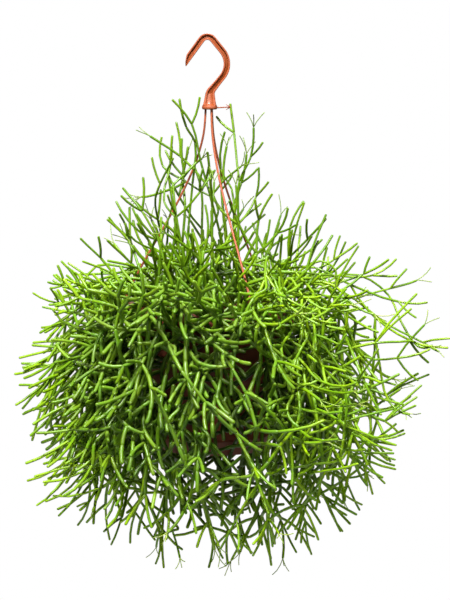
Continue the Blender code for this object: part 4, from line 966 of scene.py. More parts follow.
def add_whorl(bush, stem, way, count, rng):
    """Fork a stem's end into a whorl of the first tips."""
    ways = fork_ways(way, count, rng)
    add_tips(bush, stem, ways, [rng.uniform(*TIP_LENGTHS) for _ in ways], KEEP_OFF, MOST_FORKS)


def grow_whorls(bush, goals, rng):
    """A whorl of tips near each goal, at the end of its own chain of stems."""
    for count, goal in zip(itertools.cycle(WHORL_TIPS), goals):
        stem = grow_plain(bush, goal, rng)
        if stem:
            add_whorl(bush, stem, unit(stem.way + OUTWARD * outward(stem.end)), count, rng)


def grow_outline_tip(bush, tip, rng):
    """A fork whose first tip ends where the outline of the bush needs it."""
    goal = np.array(tip) * MM
    out = unit(outward(goal) + scatter(rng) * OUTLINE_SCATTER)
    stem = grow_plain(bush, goal - out * OUTLINE_LENGTH, rng)
    if stem is None:
        return
    first = unit(goal - stem.end)
    if np.linalg.norm(goal - stem.end) > OUTLINE_LEAST:
        add_tips(bush, stem, [first], [np.linalg.norm(goal - stem.end)], KEEP_OFF, MOST_FORKS)
    around = unit(np.cross(first, stem.way + np.array((0.1, 0.3, 0.2))))
    opening = math.radians(OUTLINE_FORK if rng.random() < 0.5 else -OUTLINE_FORK)
    other = unit(first * math.cos(opening) + around * math.sin(opening))
    add_tips(bush, stem, [other], [rng.uniform(*OUTLINE_OTHER)], KEEP_OFF, MOST_FORKS)


def shell_goals(count, turn, share, inwards, shares, size, rng):
    """Places over a shell of the bush, drawn in to the right and the top and a little off their even ones."""
    for way in even_ways(count, turn):
        drawn_in = inwards[0] * max(0.0, way[0]) + inwards[1] * max(0.0, way[2])
        goal = BUSH_CENTRE + way * bush_reach(way) * (share - drawn_in) * rng.uniform(*shares)
        yield goal + scatter(rng) * size


def round_pot(turn, across, height):
    """A place at this turn round the pot's axis."""
    return np.array((POT_AXIS_X + across * math.cos(turn), across * math.sin(turn), height))


def plume_goals():
    """Places on a narrowing spiral above the bush."""
    for index in range(PLUME_WHORLS):
        share = (index + 0.5) / PLUME_WHORLS
        ranges = (PLUME_X, PLUME_HEIGHTS, PLUME_RADII)
        middle, height, across = (low + (high - low) * share for low, high in ranges)
        angle = GOLDEN * index
        yield np.array((middle + across * math.cos(angle), PLUME_FLAT * across * math.sin(angle), height))


def skirt_goals(rng):
    """Places on a spiral close round the pot."""
    low, high = SKIRT_HEIGHTS
    for index in range(SKIRT_WHORLS):
        height = low + (high - low) * (index + 0.5) / SKIRT_WHORLS
        wall = max(POT_RIM_RADIUS * SKIRT_LEAST, pot_radius(height))
        yield round_pot(GOLDEN * index, wall + SKIRT_OFF * rng.uniform(*SKIRT_SHARES), height)


def grow_bush():
    """The part's stems: main stems, the outline's tips, then whorls in even shells from the outside in."""
    rng = random.Random(SEED)
    bush = Bush()
    plant_axes(bush, rng)
    for tip in OUTLINE_TIPS:
        grow_outline_tip(bush, tip, rng)
    for stem in [stem for stem in bush.stems if stem.radius == AXIS_RADIUS and not stem.children]:
        add_whorl(bush, stem, stem.way, 2, rng)
    for shell, (share, count) in enumerate(SHELLS):
        goals = shell_goals(count, SHELL_TURN * shell, share, (0.0, 0.0), SHELL_SHARES, SHELL_SCATTER, rng)
        grow_whorls(bush, goals, rng)
    grow_whorls(bush, plume_goals(), rng)
    grow_whorls(bush, skirt_goals(rng), rng)
    return bush


def lifted(place):
    """Direction that young stems take: outwards, and upwards too on the right-hand side."""
    return unit(outward(place) + UP * LIFT_RIGHT * clamp(place[0] / LIFT_FULL_X))


def grow_more(bush, goal, rng, length):
    """A chain of extra stems, which stand closer and fork more than the first ones."""
    return grow_to(bush, goal, rng, EXTRA_KEEP_OFF, EXTRA_FORKS, length)


def grow_tufts(bush, goals, lengths, rng, opening=WHORL_OPEN, joint_length=STEM_LENGTH):
    """Chains of extra stems to the goals, whose ends fork into tips that turn outwards."""
    for count, goal in zip(itertools.cycle(EXTRA_TIPS), goals):
        stem = grow_more(bush, goal, rng, joint_length)
        if stem:
            ways = fan_ways(unit(stem.way + lifted(stem.end)), count, opening, rng)
            add_tips(bush, stem, ways, [rng.uniform(*lengths) for _ in ways], EXTRA_KEEP_OFF, EXTRA_FORKS)


def seen_place(point, depth):
    """The place this far behind the pot's axis that the camera sees at a point of the axis's plane."""
    camera = np.array(CAMERA_PLACE)
    flat = np.array((point[0], 0.0, point[1])) * MM
    return camera + (flat - camera) * (1.0 - depth * MM / CAMERA_PLACE[1])


def lengthened(bush, stem, point, depth, rng):
    """One more length of a limb towards a point as seen, or None where there is no room."""
    for attempt in range(LIMB_ATTEMPTS):
        end = seen_place(point, depth + LIMB_SCATTER * rng.uniform(-1, 1) * (attempt + 1) / 3)
        way = unit(end - stem.end)
        if way @ stem.way < LIMB_TURN or any(child.way @ way > LIMB_PARTING for child in stem.children):
            continue
        for share in TIP_SHARES[:2]:
            reached = stem.end + (end - stem.end) * share
            if bush.is_clear(stem.end, reached, EXTRA_KEEP_OFF, stem.children + [stem]):
                return bush.add(Stem(stem.end, reached, TIP_RADIUS, stem))
    return None


def limb_end(bush, depth, joints, rng):
    """The stem that ends at a limb's last joint, grown from the first joint that has room for all of it."""
    for skipped in range(len(joints)):
        for shift in LIMB_SHIFTS:
            stem = grow_more(bush, seen_place(joints[skipped], depth + shift), rng, LIMB_JOINTS)
            for point in joints[skipped + 1:]:
                stem = lengthened(bush, stem, point, depth + shift, rng) if stem else None
            if stem:
                return stem
    return None


def grow_limbs(bush, rng):
    """The long limbs at the outline, whose tips lie side by side like a comb's teeth."""
    for depth, joints, tips in LIMBS:
        stem = limb_end(bush, depth, joints, rng)
        for point in tips if stem else ():
            lengthened(bush, stem, point, depth, rng)


def comb_goals(count, turns, heights, shares, rng):
    """Places over one side of the front."""
    for index in range(count):
        turn = turns[0] + (turns[1] - turns[0]) * (index * GOLDEN % 1.0)
        rise = math.radians(rng.uniform(*heights))
        way = np.array((math.sin(turn) * math.cos(rise), -math.cos(turn) * math.cos(rise), math.sin(rise)))
        yield BUSH_CENTRE + way * bush_reach(way) * rng.uniform(*shares)


def grow_combs(bush, rng):
    """Fans over the front that all lean one way on each side."""
    for count, turns, heights, direction, shares, lengths in COMBS:
        goals = comb_goals(count, turns, heights, shares, rng)
        for tips, goal in zip(itertools.cycle(COMB_TIPS), goals):
            stem = grow_more(bush, goal, rng, LIMB_JOINTS)
            if stem is None:
                continue
            lean = np.array(direction) + scatter(rng, COMB_SCATTER)
            ways = fan_ways(unit(unit(lean) + COMB_STRAIGHT * stem.way), tips, FAN_OPEN, rng)
            add_tips(bush, stem, ways, [rng.uniform(*lengths) * MM for _ in ways], EXTRA_KEEP_OFF, COMB_FORKS)


def rim_goals(rng):
    """Places round the rim."""
    for index in range(RIM_EXTRA):
        across = POT_RIM_RADIUS + rng.uniform(*RIM_EXTRA_OFF)
        yield round_pot(GOLDEN * index, across, rng.uniform(*RIM_EXTRA_HEIGHTS))


def front_goals(rng):
    """Places over the front, more of them to the left."""
    for _ in range(FRONT_EXTRA):
        turn = rng.uniform(*FRONT_EXTRA_TURNS)
        height = rng.uniform(*FRONT_EXTRA_HEIGHTS)
        across = max(POT_RIM_RADIUS, pot_radius(height)) + rng.uniform(*FRONT_EXTRA_OFF)
        yield np.array((POT_AXIS_X + across * math.sin(turn), -across * math.cos(turn), height))


def wall_goals(rng):
    """Places close round the pot, for the extra stems."""
    for index in range(SKIRT_EXTRA):
        height = rng.uniform(*SKIRT_EXTRA_HEIGHTS)
        across = max(POT_RIM_RADIUS * SKIRT_EXTRA_LEAST, pot_radius(height)) + rng.uniform(*SKIRT_EXTRA_OFF)
        yield round_pot(GOLDEN * index, across, height)


def crown_goals(rng):
    """Places over the soil."""
    for index in range(CROWN_EXTRA):
        across = POT_RIM_RADIUS * math.sqrt(rng.random()) * CROWN_REACH
        yield round_pot(GOLDEN * index, across, rng.uniform(*CROWN_EXTRA_HEIGHTS))


def grow_extra(bush):
    """Fill the bush up: limbs and fans as seen, shells over its depth, then round the rim and the pot."""
    rng = random.Random(EXTRA_SEED)
    for x, z, room, near, far in WINDOWS:
        bush.keep_free(seen_place((x, z), near), seen_place((x, z), far), room * MM)
    grow_limbs(bush, rng)
    for (x0, z0), (x1, z1) in AIR_LINES:
        for depth in AIR_DEPTHS:
            bush.keep_free(np.array((x0, depth, z0)) * MM, np.array((x1, depth, z1)) * MM, AIR_RADIUS)
    grow_combs(bush, rng)
    for shell, (share, count, lengths) in enumerate(EXTRA_SHELLS):
        turn = EXTRA_TURN[0] + EXTRA_TURN[1] * shell
        goals = shell_goals(count, turn, share, EXTRA_INWARDS, EXTRA_SHELL_SHARES, EXTRA_SCATTER, rng)
        grow_tufts(bush, goals, lengths, rng, FAN_OPEN)
    grow_tufts(bush, rim_goals(rng), STAR_LENGTHS, rng, STAR_OPEN, SHORT_JOINTS)
    grow_tufts(bush, front_goals(rng), STAR_LENGTHS, rng, STAR_OPEN, SHORT_JOINTS)
    grow_tufts(bush, wall_goals(rng), SKIRT_LENGTHS, rng)
    grow_tufts(bush, crown_goals(rng), CROWN_LENGTHS, rng)


def outwardness(place):
    """0 at the pot's wall and 1 at the outline of the bush."""
    step = place - BUSH_CENTRE
    span = np.linalg.norm(step)
    return clamp((span / bush_reach(step / span) - CORE) / (1.0 - CORE))


def youth(place):
    """0 for old, thick, grey-green stems, inside and over the front, and 1 for young ones at the outline."""
    way = unit(place - BUSH_CENTRE)
    front = clamp((float(way @ FRONT_WAY) - FRONT_EDGE[0]) / FRONT_EDGE[1])
    return outwardness(place) ** YOUTH_POWER * (1.0 - FRONT_AGE * front)


def bears_new(tip, rng):
    """Whether a tip carries new stems. A random draw is spent only on a tip that may."""
    if tip.end[0] < NEW_FROM_X or outwardness(tip.end) < NEW_OUTWARDNESS or youth(tip.end) < NEW_YOUTH:
        return False
    return rng.random() <= NEW_GROWTH_SHARE


def new_growth(bush):
    """Thin pale stems on some of the outermost tips."""
    rng = random.Random(EXTRA_SEED + 1)
    for tip in bush.stems:
        if not tip.children and bears_new(tip, rng):
            for way in fork_ways(tip.way, rng.choice(NEW_TIPS), rng):
                tip.new.append(Stem(tip.end, tip.end + way * rng.uniform(*NEW_LENGTHS), NEW_RADIUS, tip))


def stem_radius(place):
    """Thick where the stems are old and thin where they are young."""
    return THICK_RADIUS + (THIN_RADIUS - THICK_RADIUS) * youth(place)


def straightest(stem):
    """The stem that goes on best in a stem's direction, or None at a tip."""
    return max(stem.children, key=lambda child: float(child.way @ stem.way), default=None)


def end_ways(stem):
    """Directions in which a stem's centreline leaves its start and reaches its end."""
    way = stem.way
    parent = stem.parent
    if parent is None:
        start = way
    elif straightest(parent) in (None, stem):
        start = unit(way + parent.way)
    else:
        start = unit(way + BEND * (way - parent.way * float(way @ parent.way)))
    after = straightest(stem)
    return start, unit(way + after.way if after else 2.0 * way - start + UP * TIP_LIFT)


Tube = collections.namedtuple("Tube", "start end first last is_tip size youth new tone outer")


def stem_tubes(stem, rng):
    """The tube that a stem is drawn as, or the two, with a joint between them, where it is old and long."""
    place = (stem.start + stem.end) / 2
    new = stem.radius == NEW_RADIUS
    young = youth(place)
    size = (NEW_RADIUS if new else stem_radius(place)) * rng.uniform(*TUBE_SCATTER)
    first, last = end_ways(stem)
    is_tip = not stem.children and not stem.new
    tone = rng.random()
    outer = outwardness(place)
    if new or young > SPLIT_YOUTH or np.linalg.norm(stem.end - stem.start) < SPLIT_LENGTH:
        return [Tube(stem.start, stem.end, first, last, is_tip, size, young, new, tone, outer)]
    line = hermite(stem.start, first, stem.end, last, SPLIT_STEPS)
    cut = rng.randint(*SPLIT_AT)
    way = unit(line[cut + 1] - line[cut - 1])
    kink = np.cross(way, unit(scatter(rng))) * SPLIT_KINK
    other = size * rng.uniform(*SPLIT_SCATTER)
    return [Tube(stem.start, line[cut], first, unit(way + kink), False, size, young, new, tone, outer),
            Tube(line[cut], stem.end, unit(way - kink), last, is_tip, other, young, new, rng.random(), outer)]


def tube_rings(tube, length):
    """Where along the centreline the rings stand, as shares of its length, and how wide each is."""
    last = TIP_RINGS if tube.is_tip else JOINT_RINGS
    shares = [radii * tube.size / length for radii, _ in START_RINGS]
    shares += list(MIDDLE_RINGS)
    shares += [1.0 - radii * tube.size / length for radii, _ in last]
    sizes = [wide for _, wide in START_RINGS] + [1.0] * len(MIDDLE_RINGS) + [wide for _, wide in last]
    return np.array(shares), np.array(sizes) * tube.size


def tube_places(tube, shares, sizes, length):
    """The vertices of a tube, ring by ring, and last those of its two caps."""
    line = curve_place(tube.start, tube.first * length, tube.end, tube.last * length, shares[:, None])
    ways = np.gradient(line, axis=0)
    ways /= np.linalg.norm(ways, axis=1)[:, None]
    side = np.cross(ways, (0.31, 0.52, 0.79) if abs(tube.first[2]) < 0.8 else (1.0, 0.2, 0.1))
    side /= np.linalg.norm(side, axis=1)[:, None]
    up = np.cross(ways, side)
    turns = 2 * np.pi * np.arange(TUBE_SIDES) / TUBE_SIDES
    ring = side[:, None, :] * np.cos(turns)[None, :, None] + up[:, None, :] * np.sin(turns)[None, :, None]
    ring = line[:, None, :] + ring * sizes[:, None, None]
    caps = np.stack((line[0] - ways[0] * sizes[0] * CAP, line[-1] + ways[-1] * sizes[-1] * CAP))
    return np.vstack((ring.reshape(-1, 3), caps))


def tube_values(tube, shares, length):
    """What the finish is told of each vertex, in the order of TUBE_KEYS."""
    values = np.empty((TUBE_POINTS, len(TUBE_KEYS)))
    values[:, :3] = tube.youth, tube.new, tube.tone
    joint = np.clip(1.0 - shares * length / (JOINT_SHADE * tube.size), 0.0, 1.0)
    values[:-2, 3] = np.repeat(joint, TUBE_SIDES)
    values[-2:, 3] = (1.0, 0.0)
    values[:, 4] = tube.outer
    return values


def tube_arrays(tubes):
    """Places and values for the vertices of all tubes."""
    places, values = [], []
    for tube in tubes:
        length = np.linalg.norm(tube.end - tube.start)
        shares, sizes = tube_rings(tube, length)
        places.append(tube_places(tube, shares, sizes, length))
        values.append(tube_values(tube, shares, length))
    return np.vstack(places), np.vstack(values)


def tube_faces():
    """Corner indices of one tube's faces, with each corner's place round and along it, in sides and rings."""
    faces, around, along = [], [], []
    heads = RINGS * TUBE_SIDES
    for ring in range(RINGS - 1):
        for side in range(TUBE_SIDES):
            after = (side + 1) % TUBE_SIDES
            low, high = ring * TUBE_SIDES, (ring + 1) * TUBE_SIDES
            faces.append((low + side, low + after, high + after, high + side))
            around += (side, side + 1, side + 1, side)
            along += (ring, ring, ring + 1, ring + 1)
    for side in range(TUBE_SIDES):
        after = (side + 1) % TUBE_SIDES
        last = (RINGS - 1) * TUBE_SIDES
        faces += ((heads, after, side), (heads + 1, last + side, last + after))
        around += (side + 0.5, side + 1, side, side + 0.5, side, side + 1)
        along += (-CAP_RUN, 0, 0, RINGS - 1 + CAP_RUN, RINGS - 1, RINGS - 1)
    return faces, np.array(around, dtype=float), np.array(along, dtype=float)


def baked_map(count, around, along):
    """Each corner's place on the map that finishes are baked to, where every tube has a cell of its own."""
    columns = math.ceil(math.sqrt(count * CELL_HEIGHT))
    rows = math.ceil(count / columns)
    number = np.arange(count)
    across = (number % columns)[:, None] + CELL_ACROSS[0] + CELL_ACROSS[1] * around[None, :]
    upward = (number // columns)[:, None] + CELL_UPWARD[0] + CELL_UPWARD[1] * along[None, :]
    return np.stack((across / columns, upward / rows), axis=2)


def set_values(mesh, key, values):
    """Store one value for each vertex."""
    mesh.attributes.new(key, "FLOAT", "POINT").data.foreach_set("value", values)


def set_map(mesh, name, places):
    """Store each corner's place on a map."""
    mesh.uv_layers.new(name=name).data.foreach_set("uv", places.ravel())


def spray_mesh(name, stems, rng):
    """One mesh of all the tubes of a spray, with its two maps and the values for its finish."""
    tubes = [tube for stem in stems for tube in stem_tubes(stem, rng)]
    places, values = tube_arrays(tubes)
    faces, around, along = tube_faces()
    sizes = np.tile([len(face) for face in faces], len(tubes))
    corners = np.concatenate([np.array(face) for face in faces])
    corners = (corners[None, :] + TUBE_POINTS * np.arange(len(tubes))[:, None]).ravel()
    mesh = bpy.data.meshes.new(name)
    mesh.vertices.add(len(places))
    mesh.vertices.foreach_set("co", places.ravel())
    mesh.loops.add(len(corners))
    mesh.loops.foreach_set("vertex_index", corners)
    mesh.polygons.add(len(sizes))
    mesh.polygons.foreach_set("loop_start", np.concatenate(([0], np.cumsum(sizes)[:-1])))
    mesh.polygons.foreach_set("use_smooth", np.ones(len(sizes), dtype=bool))
    mesh.update(calc_edges=True)
    around = around / TUBE_SIDES
    along = (along + CAP_RUN) / (RINGS - 1 + 2 * CAP_RUN)
    set_map(mesh, "OFBake", baked_map(len(tubes), around, along))
    lengths = np.array([np.linalg.norm(tube.end - tube.start) for tube in tubes]) / MM
    round_tubes = np.broadcast_to(around, (len(tubes), len(around)))
    set_map(mesh, "skin", np.stack((round_tubes, lengths[:, None] * along[None, :]), axis=2))
    for index, key in enumerate(TUBE_KEYS):
        set_values(mesh, key, values[:, index])
    return mesh


def link(name, data):
    """A new object in the scene."""
    piece = bpy.data.objects.new(name, data)
    bpy.context.scene.collection.objects.link(piece)
    return piece


def put(node, mesh, material):
    """Put a piece in the scene in place of a CAD node."""
    piece = link("fine_" + node, mesh)
    mesh.materials.clear()
    mesh.materials.append(material)
    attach(piece, "root")
    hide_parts(node)


def make_sprays(bush, material):
    """One piece for each spray node of the part."""
    rng = random.Random(EXTRA_SEED + 2)
    groups = {}
    for stem in bush.stems:
        groups.setdefault(stem.spray, []).append(stem)
        groups[stem.spray].extend(stem.new)
    for number, stems in sorted(groups.items()):
        node = "stem_spray_%02d" % (number + 1)
        put(node, spray_mesh("fine_" + node, stems, rng), material)


class Nodes:
    """A material's node tree, with short ways to add and join nodes."""

    def __init__(self, name):
        self.material = bpy.data.materials.new(name)
        self.material.use_nodes = True
        self.tree = self.material.node_tree
        self.shader = self.tree.nodes["Principled BSDF"]

    def add(self, kind, **values):
        """A node with its settings and inputs by name; an input's value may be another node's output."""
        node = self.tree.nodes.new("ShaderNode" + kind)
        for key, value in values.items():
            if hasattr(node, key) and key not in node.inputs:
                setattr(node, key, value)
            else:
                self.give(node.inputs[key], value)
        return node

    def give(self, socket, value):
        """Set a socket, or link an output to it. Colours come without their alpha."""
        if isinstance(value, bpy.types.NodeSocket):
            self.tree.links.new(value, socket)
        else:
            socket.default_value = (*value, 1.0) if socket.type == "RGBA" else value

    def attribute(self, key):
        """A value stored at the mesh's vertices."""
        return self.add("Attribute", attribute_name=key).outputs["Fac"]

    def noise(self, scale, detail=3.0):
        """Cloudy noise over the object's own coordinates."""
        place = self.add("TexCoord").outputs["Object"]
        return self.add("TexNoise", Vector=place, Scale=scale, Detail=detail).outputs["Fac"]

    def band(self, value, low, high, out_low=0.0, out_high=1.0):
        """The value's range low-high carried over to another range, smoothly."""
        ends = {"From Min": low, "From Max": high, "To Min": out_low, "To Max": out_high}
        return self.add("MapRange", interpolation_type="SMOOTHSTEP", Value=value, **ends).outputs["Result"]

    def product(self, kind, output, *factors):
        """Two values or two vectors multiplied."""
        node = self.add(kind, operation="MULTIPLY")
        for socket, value in zip(node.inputs, factors):
            self.give(socket, value)
        return node.outputs[output]

    def mix(self, share, first, second):
        """Two colours mixed."""
        return self.add("MixRGB", Fac=share, Color1=first, Color2=second).outputs["Color"]

    def bump(self, height, distance, strength, under=None):
        """A bump of this height, in metres, over another one."""
        node = self.add("Bump", Height=height, Distance=distance, Strength=strength)
        if under is not None:
            self.give(node.inputs["Normal"], under)
        return node.outputs["Normal"]

    def finish(self, **values):
        """Give the shader its values and return the material."""
        for key, value in values.items():
            self.give(self.shader.inputs[key.replace("_", " ")], value)
        return self.material


def stem_material():
    """Waxy green skin: grey-green inside, bright yellow-green outside, with scars and darker joints.

    Painted shade darkens the stems deep inside the bush and those of the plume above the pot. Old stems carry
    a pale painted highlight where they face upwards.
    """
    nodes = Nodes("stem_skin_fine")
    young, tone = nodes.attribute("youth"), nodes.attribute("tone")
    base = nodes.mix(nodes.band(young, 0.05, 0.80), nodes.mix(tone, *STEM_OLD), nodes.mix(tone, *STEM_YOUNG))
    base = nodes.mix(nodes.attribute("new"), base, STEM_NEW)
    cloudy = nodes.band(nodes.noise(70.0), 0.35, 0.68)
    base = nodes.mix(cloudy, base, nodes.mix(0.55, base, STEM_CLOUD))
    height = nodes.add("SeparateXYZ", Vector=nodes.add("TexCoord").outputs["Object"]).outputs["Z"]
    # Painted shade: the stems of the plume, high above the pot, are darkened
    base = nodes.mix(nodes.band(height, *PLUME_SHADE_HEIGHTS, 0.0, 0.55), base, STEM_PLUME_SHADE)
    skin = nodes.add("UVMap", uv_map="skin").outputs["UV"]
    places = nodes.product("VectorMath", "Vector", skin, SCAR_SPREAD)
    scars = nodes.add("TexVoronoi", Vector=places, Scale=1.0, Randomness=0.55).outputs["Distance"]
    scar = nodes.band(scars, 0.06, 0.13, 1.0, 0.0)
    base = nodes.mix(nodes.band(scar, 0.0, 1.0, 0.0, 0.45), base, STEM_SCAR)
    # Painted shade: stems deep inside the bush are darkened towards the pot
    deep = nodes.band(nodes.attribute("outer"), 0.03, 0.50, 0.66, 0.0)
    base = nodes.mix(deep, base, STEM_INNER_SHADE)
    # Painted highlight: old stems are paler where they face upwards, less so low down
    upward = nodes.add("SeparateXYZ", Vector=nodes.add("NewGeometry").outputs["Normal"]).outputs["Z"]
    facing, old = nodes.band(upward, 0.15, 0.85, 0.0, 0.46), nodes.band(young, 0.05, 0.60, 1.0, 0.12)
    painted_highlight = nodes.product("Math", "Value", facing, old)
    painted_highlight = nodes.product("Math", "Value", painted_highlight, nodes.band(height, *PAINTED_HIGHLIGHT_HEIGHTS, 0.5, 1.0))
    base = nodes.mix(painted_highlight, base, STEM_PAINTED_HIGHLIGHT)
    base = nodes.mix(nodes.band(nodes.attribute("joint"), 0.35, 1.0, 0.0, 0.55), base, STEM_JOINT)
    normal = nodes.bump(nodes.noise(260.0, 3.0), 0.25 * MM, 0.55)
    normal = nodes.bump(nodes.noise(900.0, 2.0), 0.06 * MM, 0.5, normal)
    normal = nodes.bump(scar, 0.10 * MM, 0.6, normal)
    rough = nodes.band(nodes.noise(120.0), 0.3, 0.7, 0.33, 0.45)
    return nodes.finish(Base_Color=base, Roughness=rough, Normal=normal, Specular_IOR_Level=0.29)


def moulded(name, deep, plain, light, dusty, rough):
    """Moulded plastic: flow clouds, fine speckle, lighter edges and a little dust. The lighter edges are wear
    on the pot, and on the hanger painted highlight along its ribs and round the collar's lip.
    """
    nodes = Nodes(name)
    base = nodes.mix(nodes.band(nodes.noise(38.0, 4.0), 0.32, 0.70), plain, deep)
    # Lighter where the vertices say so: wear on the pot, painted highlight on the hanger
    base = nodes.mix(nodes.band(nodes.attribute("edge"), 0.2, 1.0), base, light)
    base = nodes.mix(nodes.band(nodes.noise(210.0, 5.0), 0.56, 0.74, 0.0, 0.35), base, dusty)
    normal = nodes.bump(nodes.noise(1500.0, 2.0), 0.05 * MM, 0.4)
    normal = nodes.bump(nodes.noise(90.0, 2.0), 0.20 * MM, 0.35, normal)
    roughness = nodes.band(nodes.noise(160.0, 3.0), 0.3, 0.7, rough - 0.06, rough + 0.10)
    return nodes.finish(Base_Color=base, Roughness=roughness, Normal=normal, Specular_IOR_Level=0.25)


def soil_material():
    """Loose potting soil: dark peat with paler fibres and clods."""
    nodes = Nodes("soil_fine")
    base = nodes.mix(nodes.band(nodes.noise(140.0, 6.0), 0.3, 0.7), *SOIL_PEAT)
    base = nodes.mix(nodes.band(nodes.noise(900.0, 4.0), 0.60, 0.72, 0.0, 0.7), base, SOIL_FIBRE)
    normal = nodes.bump(nodes.noise(420.0, 6.0), 1.2 * MM, 0.9)
    return nodes.finish(Base_Color=base, Roughness=0.95, Normal=normal)


def mesh_of(name, bm):
    """A mesh from the builder, which is then freed."""
    mesh = bpy.data.meshes.new(name)
    bm.to_mesh(mesh)
    bm.free()
    return mesh


def outside_out(bm):
    """Turn all faces of the builder outwards."""
    bmesh.ops.recalc_face_normals(bm, faces=bm.faces)
    return bm


def smoothed(mesh, crease):
    """Smooth the mesh, but for creases sharper than this, in degrees."""
    mesh.shade_smooth()
    mesh.set_sharp_from_angle(angle=math.radians(crease))
    return mesh


def joined(name, parts):
    """One mesh of several builders' meshes and the values of their vertices for lighter edges: painted
    highlight, with some wear.
    """
    total = bmesh.new()
    edges = []
    for bm, values in parts:
        loose = mesh_of("loose", outside_out(bm))
        total.from_mesh(loose)
        bpy.data.meshes.remove(loose)
        edges += list(values)
    mesh = smoothed(mesh_of(name, total), 50.0)
    set_values(mesh, "edge", edges)
    return mesh


def cut_out(piece, tools):
    """Cut the tools out of the piece and remove them."""
    group = bpy.data.collections.new(piece.name + "_tools")
    for tool in tools:
        group.objects.link(tool)
    modifier = piece.modifiers.new("tools", "BOOLEAN")
    modifier.operation = "DIFFERENCE"
    modifier.operand_type = "COLLECTION"
    modifier.collection = group
    modifier.solver = "EXACT"
    evaluated = piece.evaluated_get(bpy.context.evaluated_depsgraph_get())
    mesh = bpy.data.meshes.new_from_object(evaluated)
    piece.modifiers.clear()
    piece.data = mesh
    for tool in tools:
        bpy.data.objects.remove(tool)
    bpy.data.collections.remove(group)


def upright_bar(x, y, low, high, radius, sides):
    """A plain upright bar, used to cut a hole."""
    bar = swept([Vector((x, y, low)), Vector((x, y, high))], [radius, radius], sides)
    return link("cutter", mesh_of("cutter", outside_out(bar)))


def dense_line(points, step):
    """The points, with more put between them where they lie more than a step apart."""
    dense = [points[0]]
    for before, after in zip(points, points[1:]):
        parts = max(1, round((after - before).length / step))
        dense += [before + (after - before) * (part / parts) for part in range(1, parts + 1)]
    return dense


def fine_hook_bar():
    """The crook with rounded ribs and a groove deepest along its outer rib; its foot widens to the collar."""
    bends = rounded_line(HOOK_CORNERS[:-1] + (HOOK_END,), HOOK_RADII, HOOK_FINE_STEP)
    points = dense_line(bends, HOOK_FINE_STEP)
    section = [(across * MM, -depth * MM) for across, depth in HOOK_HALF]
    section += [(across, -depth) for across, depth in reversed(section)]
    heights, widths, depths = zip(*HOOK_FOOT[::-1])
    inside = HOOK_WIDTH / 2
    bm = bmesh.new()
    rings = []
    for index, point in enumerate(points):
        along = heading(points, index)
        away = Vector((-along.z, 0.0, along.x))
        run = index * HOOK_FINE_STEP
        on_foot = point.z < HOOK_FOOT[0][0] * MM and index > len(points) / 2
        wide = np.interp(point.z / MM, heights, widths) if on_foot else 1.0
        deep = np.interp(point.z / MM, heights, depths) if on_foot else 1.0
        drop = HOOK_TIP_DROP * max(0.0, 1.0 - run / HOOK_TIP_RUN) ** 2
        narrow = max(0.12, min(1.0, (run - drop + HOOK_TIP_DROP) / HOOK_TIP_RUN) ** 0.6)
        ring = []
        for across, depth in section:
            place = (across + inside) * wide * narrow - inside * wide
            spot = point + away * place - along * drop
            ring.append(bm.verts.new(spot + Vector((0.0, depth * deep * (0.65 + 0.35 * narrow), 0.0))))
        rings.append(ring)
    skin_rings(bm, rings)
    bm.faces.new(rings[0])
    bm.faces.new(rings[-1])
    # Painted highlight, with some wear, along the tops of the ribs, and less on their shoulders
    rib_highlight_and_wear = [1.0 if abs(depth) > 2.8 * MM else 0.55 if abs(depth) > 2.0 * MM else 0.0 for _, depth in section]
    return bm, rib_highlight_and_wear * len(points)


def fine_collar():
    """The bell-shaped collar with a rounded lip and a recessed underside."""
    bm = turned([(radius * MM, height * MM) for radius, height, _ in COLLAR_FINE], 40, COLLAR_X)
    for vert in bm.verts:
        if vert.co.z > COLLAR_FLAT[0][0] * MM:
            vert.co.y *= np.interp(vert.co.z / MM, *COLLAR_FLAT)
    # The painted highlight round the lip, from the outline's third column
    light = {round(height, 2): value for _, height, value in COLLAR_FINE}
    return bm, [light[round(vert.co.z / MM, 2)] for vert in bm.verts]


def barb_lines():
    """The pin's shaft and four swept-back barbs, as rows of points and sizes."""
    start = Vector((COLLAR_X + LABEL_PIN_START, 0.0, LABEL_PIN_Z))
    tip = start + Vector((LABEL_PIN_LENGTH + LABEL_BARB[0], 0.0, LABEL_PIN_RISE))
    lines = [([start, tip - Vector((1.0 * MM, 0, 0)), tip], LABEL_SHAFT_RADII)]
    for turn in range(4):
        angle = math.pi / 2 * turn
        back, wide = -LABEL_BARB[0] * 0.85, LABEL_BARB[1]
        way = Vector((back, math.cos(angle) * wide, math.sin(angle) * wide))
        lines.append(([tip - Vector((0.5 * MM, 0, 0)), tip + way * 0.5, tip + way], LABEL_BARB_RADII))
    return lines


def make_hook(material):
    """Crook, collar and label pin."""
    parts = [fine_hook_bar(), fine_collar()]
    for points, radii in barb_lines():
        pin = swept(points, radii, 8)
        parts.append((pin, [0.3] * len(pin.verts)))
    put("hanger_hook", joined("fine_hanger_hook", parts), material)


def smooth_rod_line(coarse):
    """The points of a rod's centreline, with more put between them on a smooth curve."""
    points = []
    for index, (start, end) in enumerate(zip(coarse, coarse[1:])):
        before = coarse[max(index - 1, 0)]
        after = coarse[min(index + 2, len(coarse) - 1)]
        for part in range(ROD_PARTS):
            points.append(curve_place(start, (end - before) / 2, end, (after - start) / 2, part / ROD_PARTS))
    return points + [coarse[-1]]


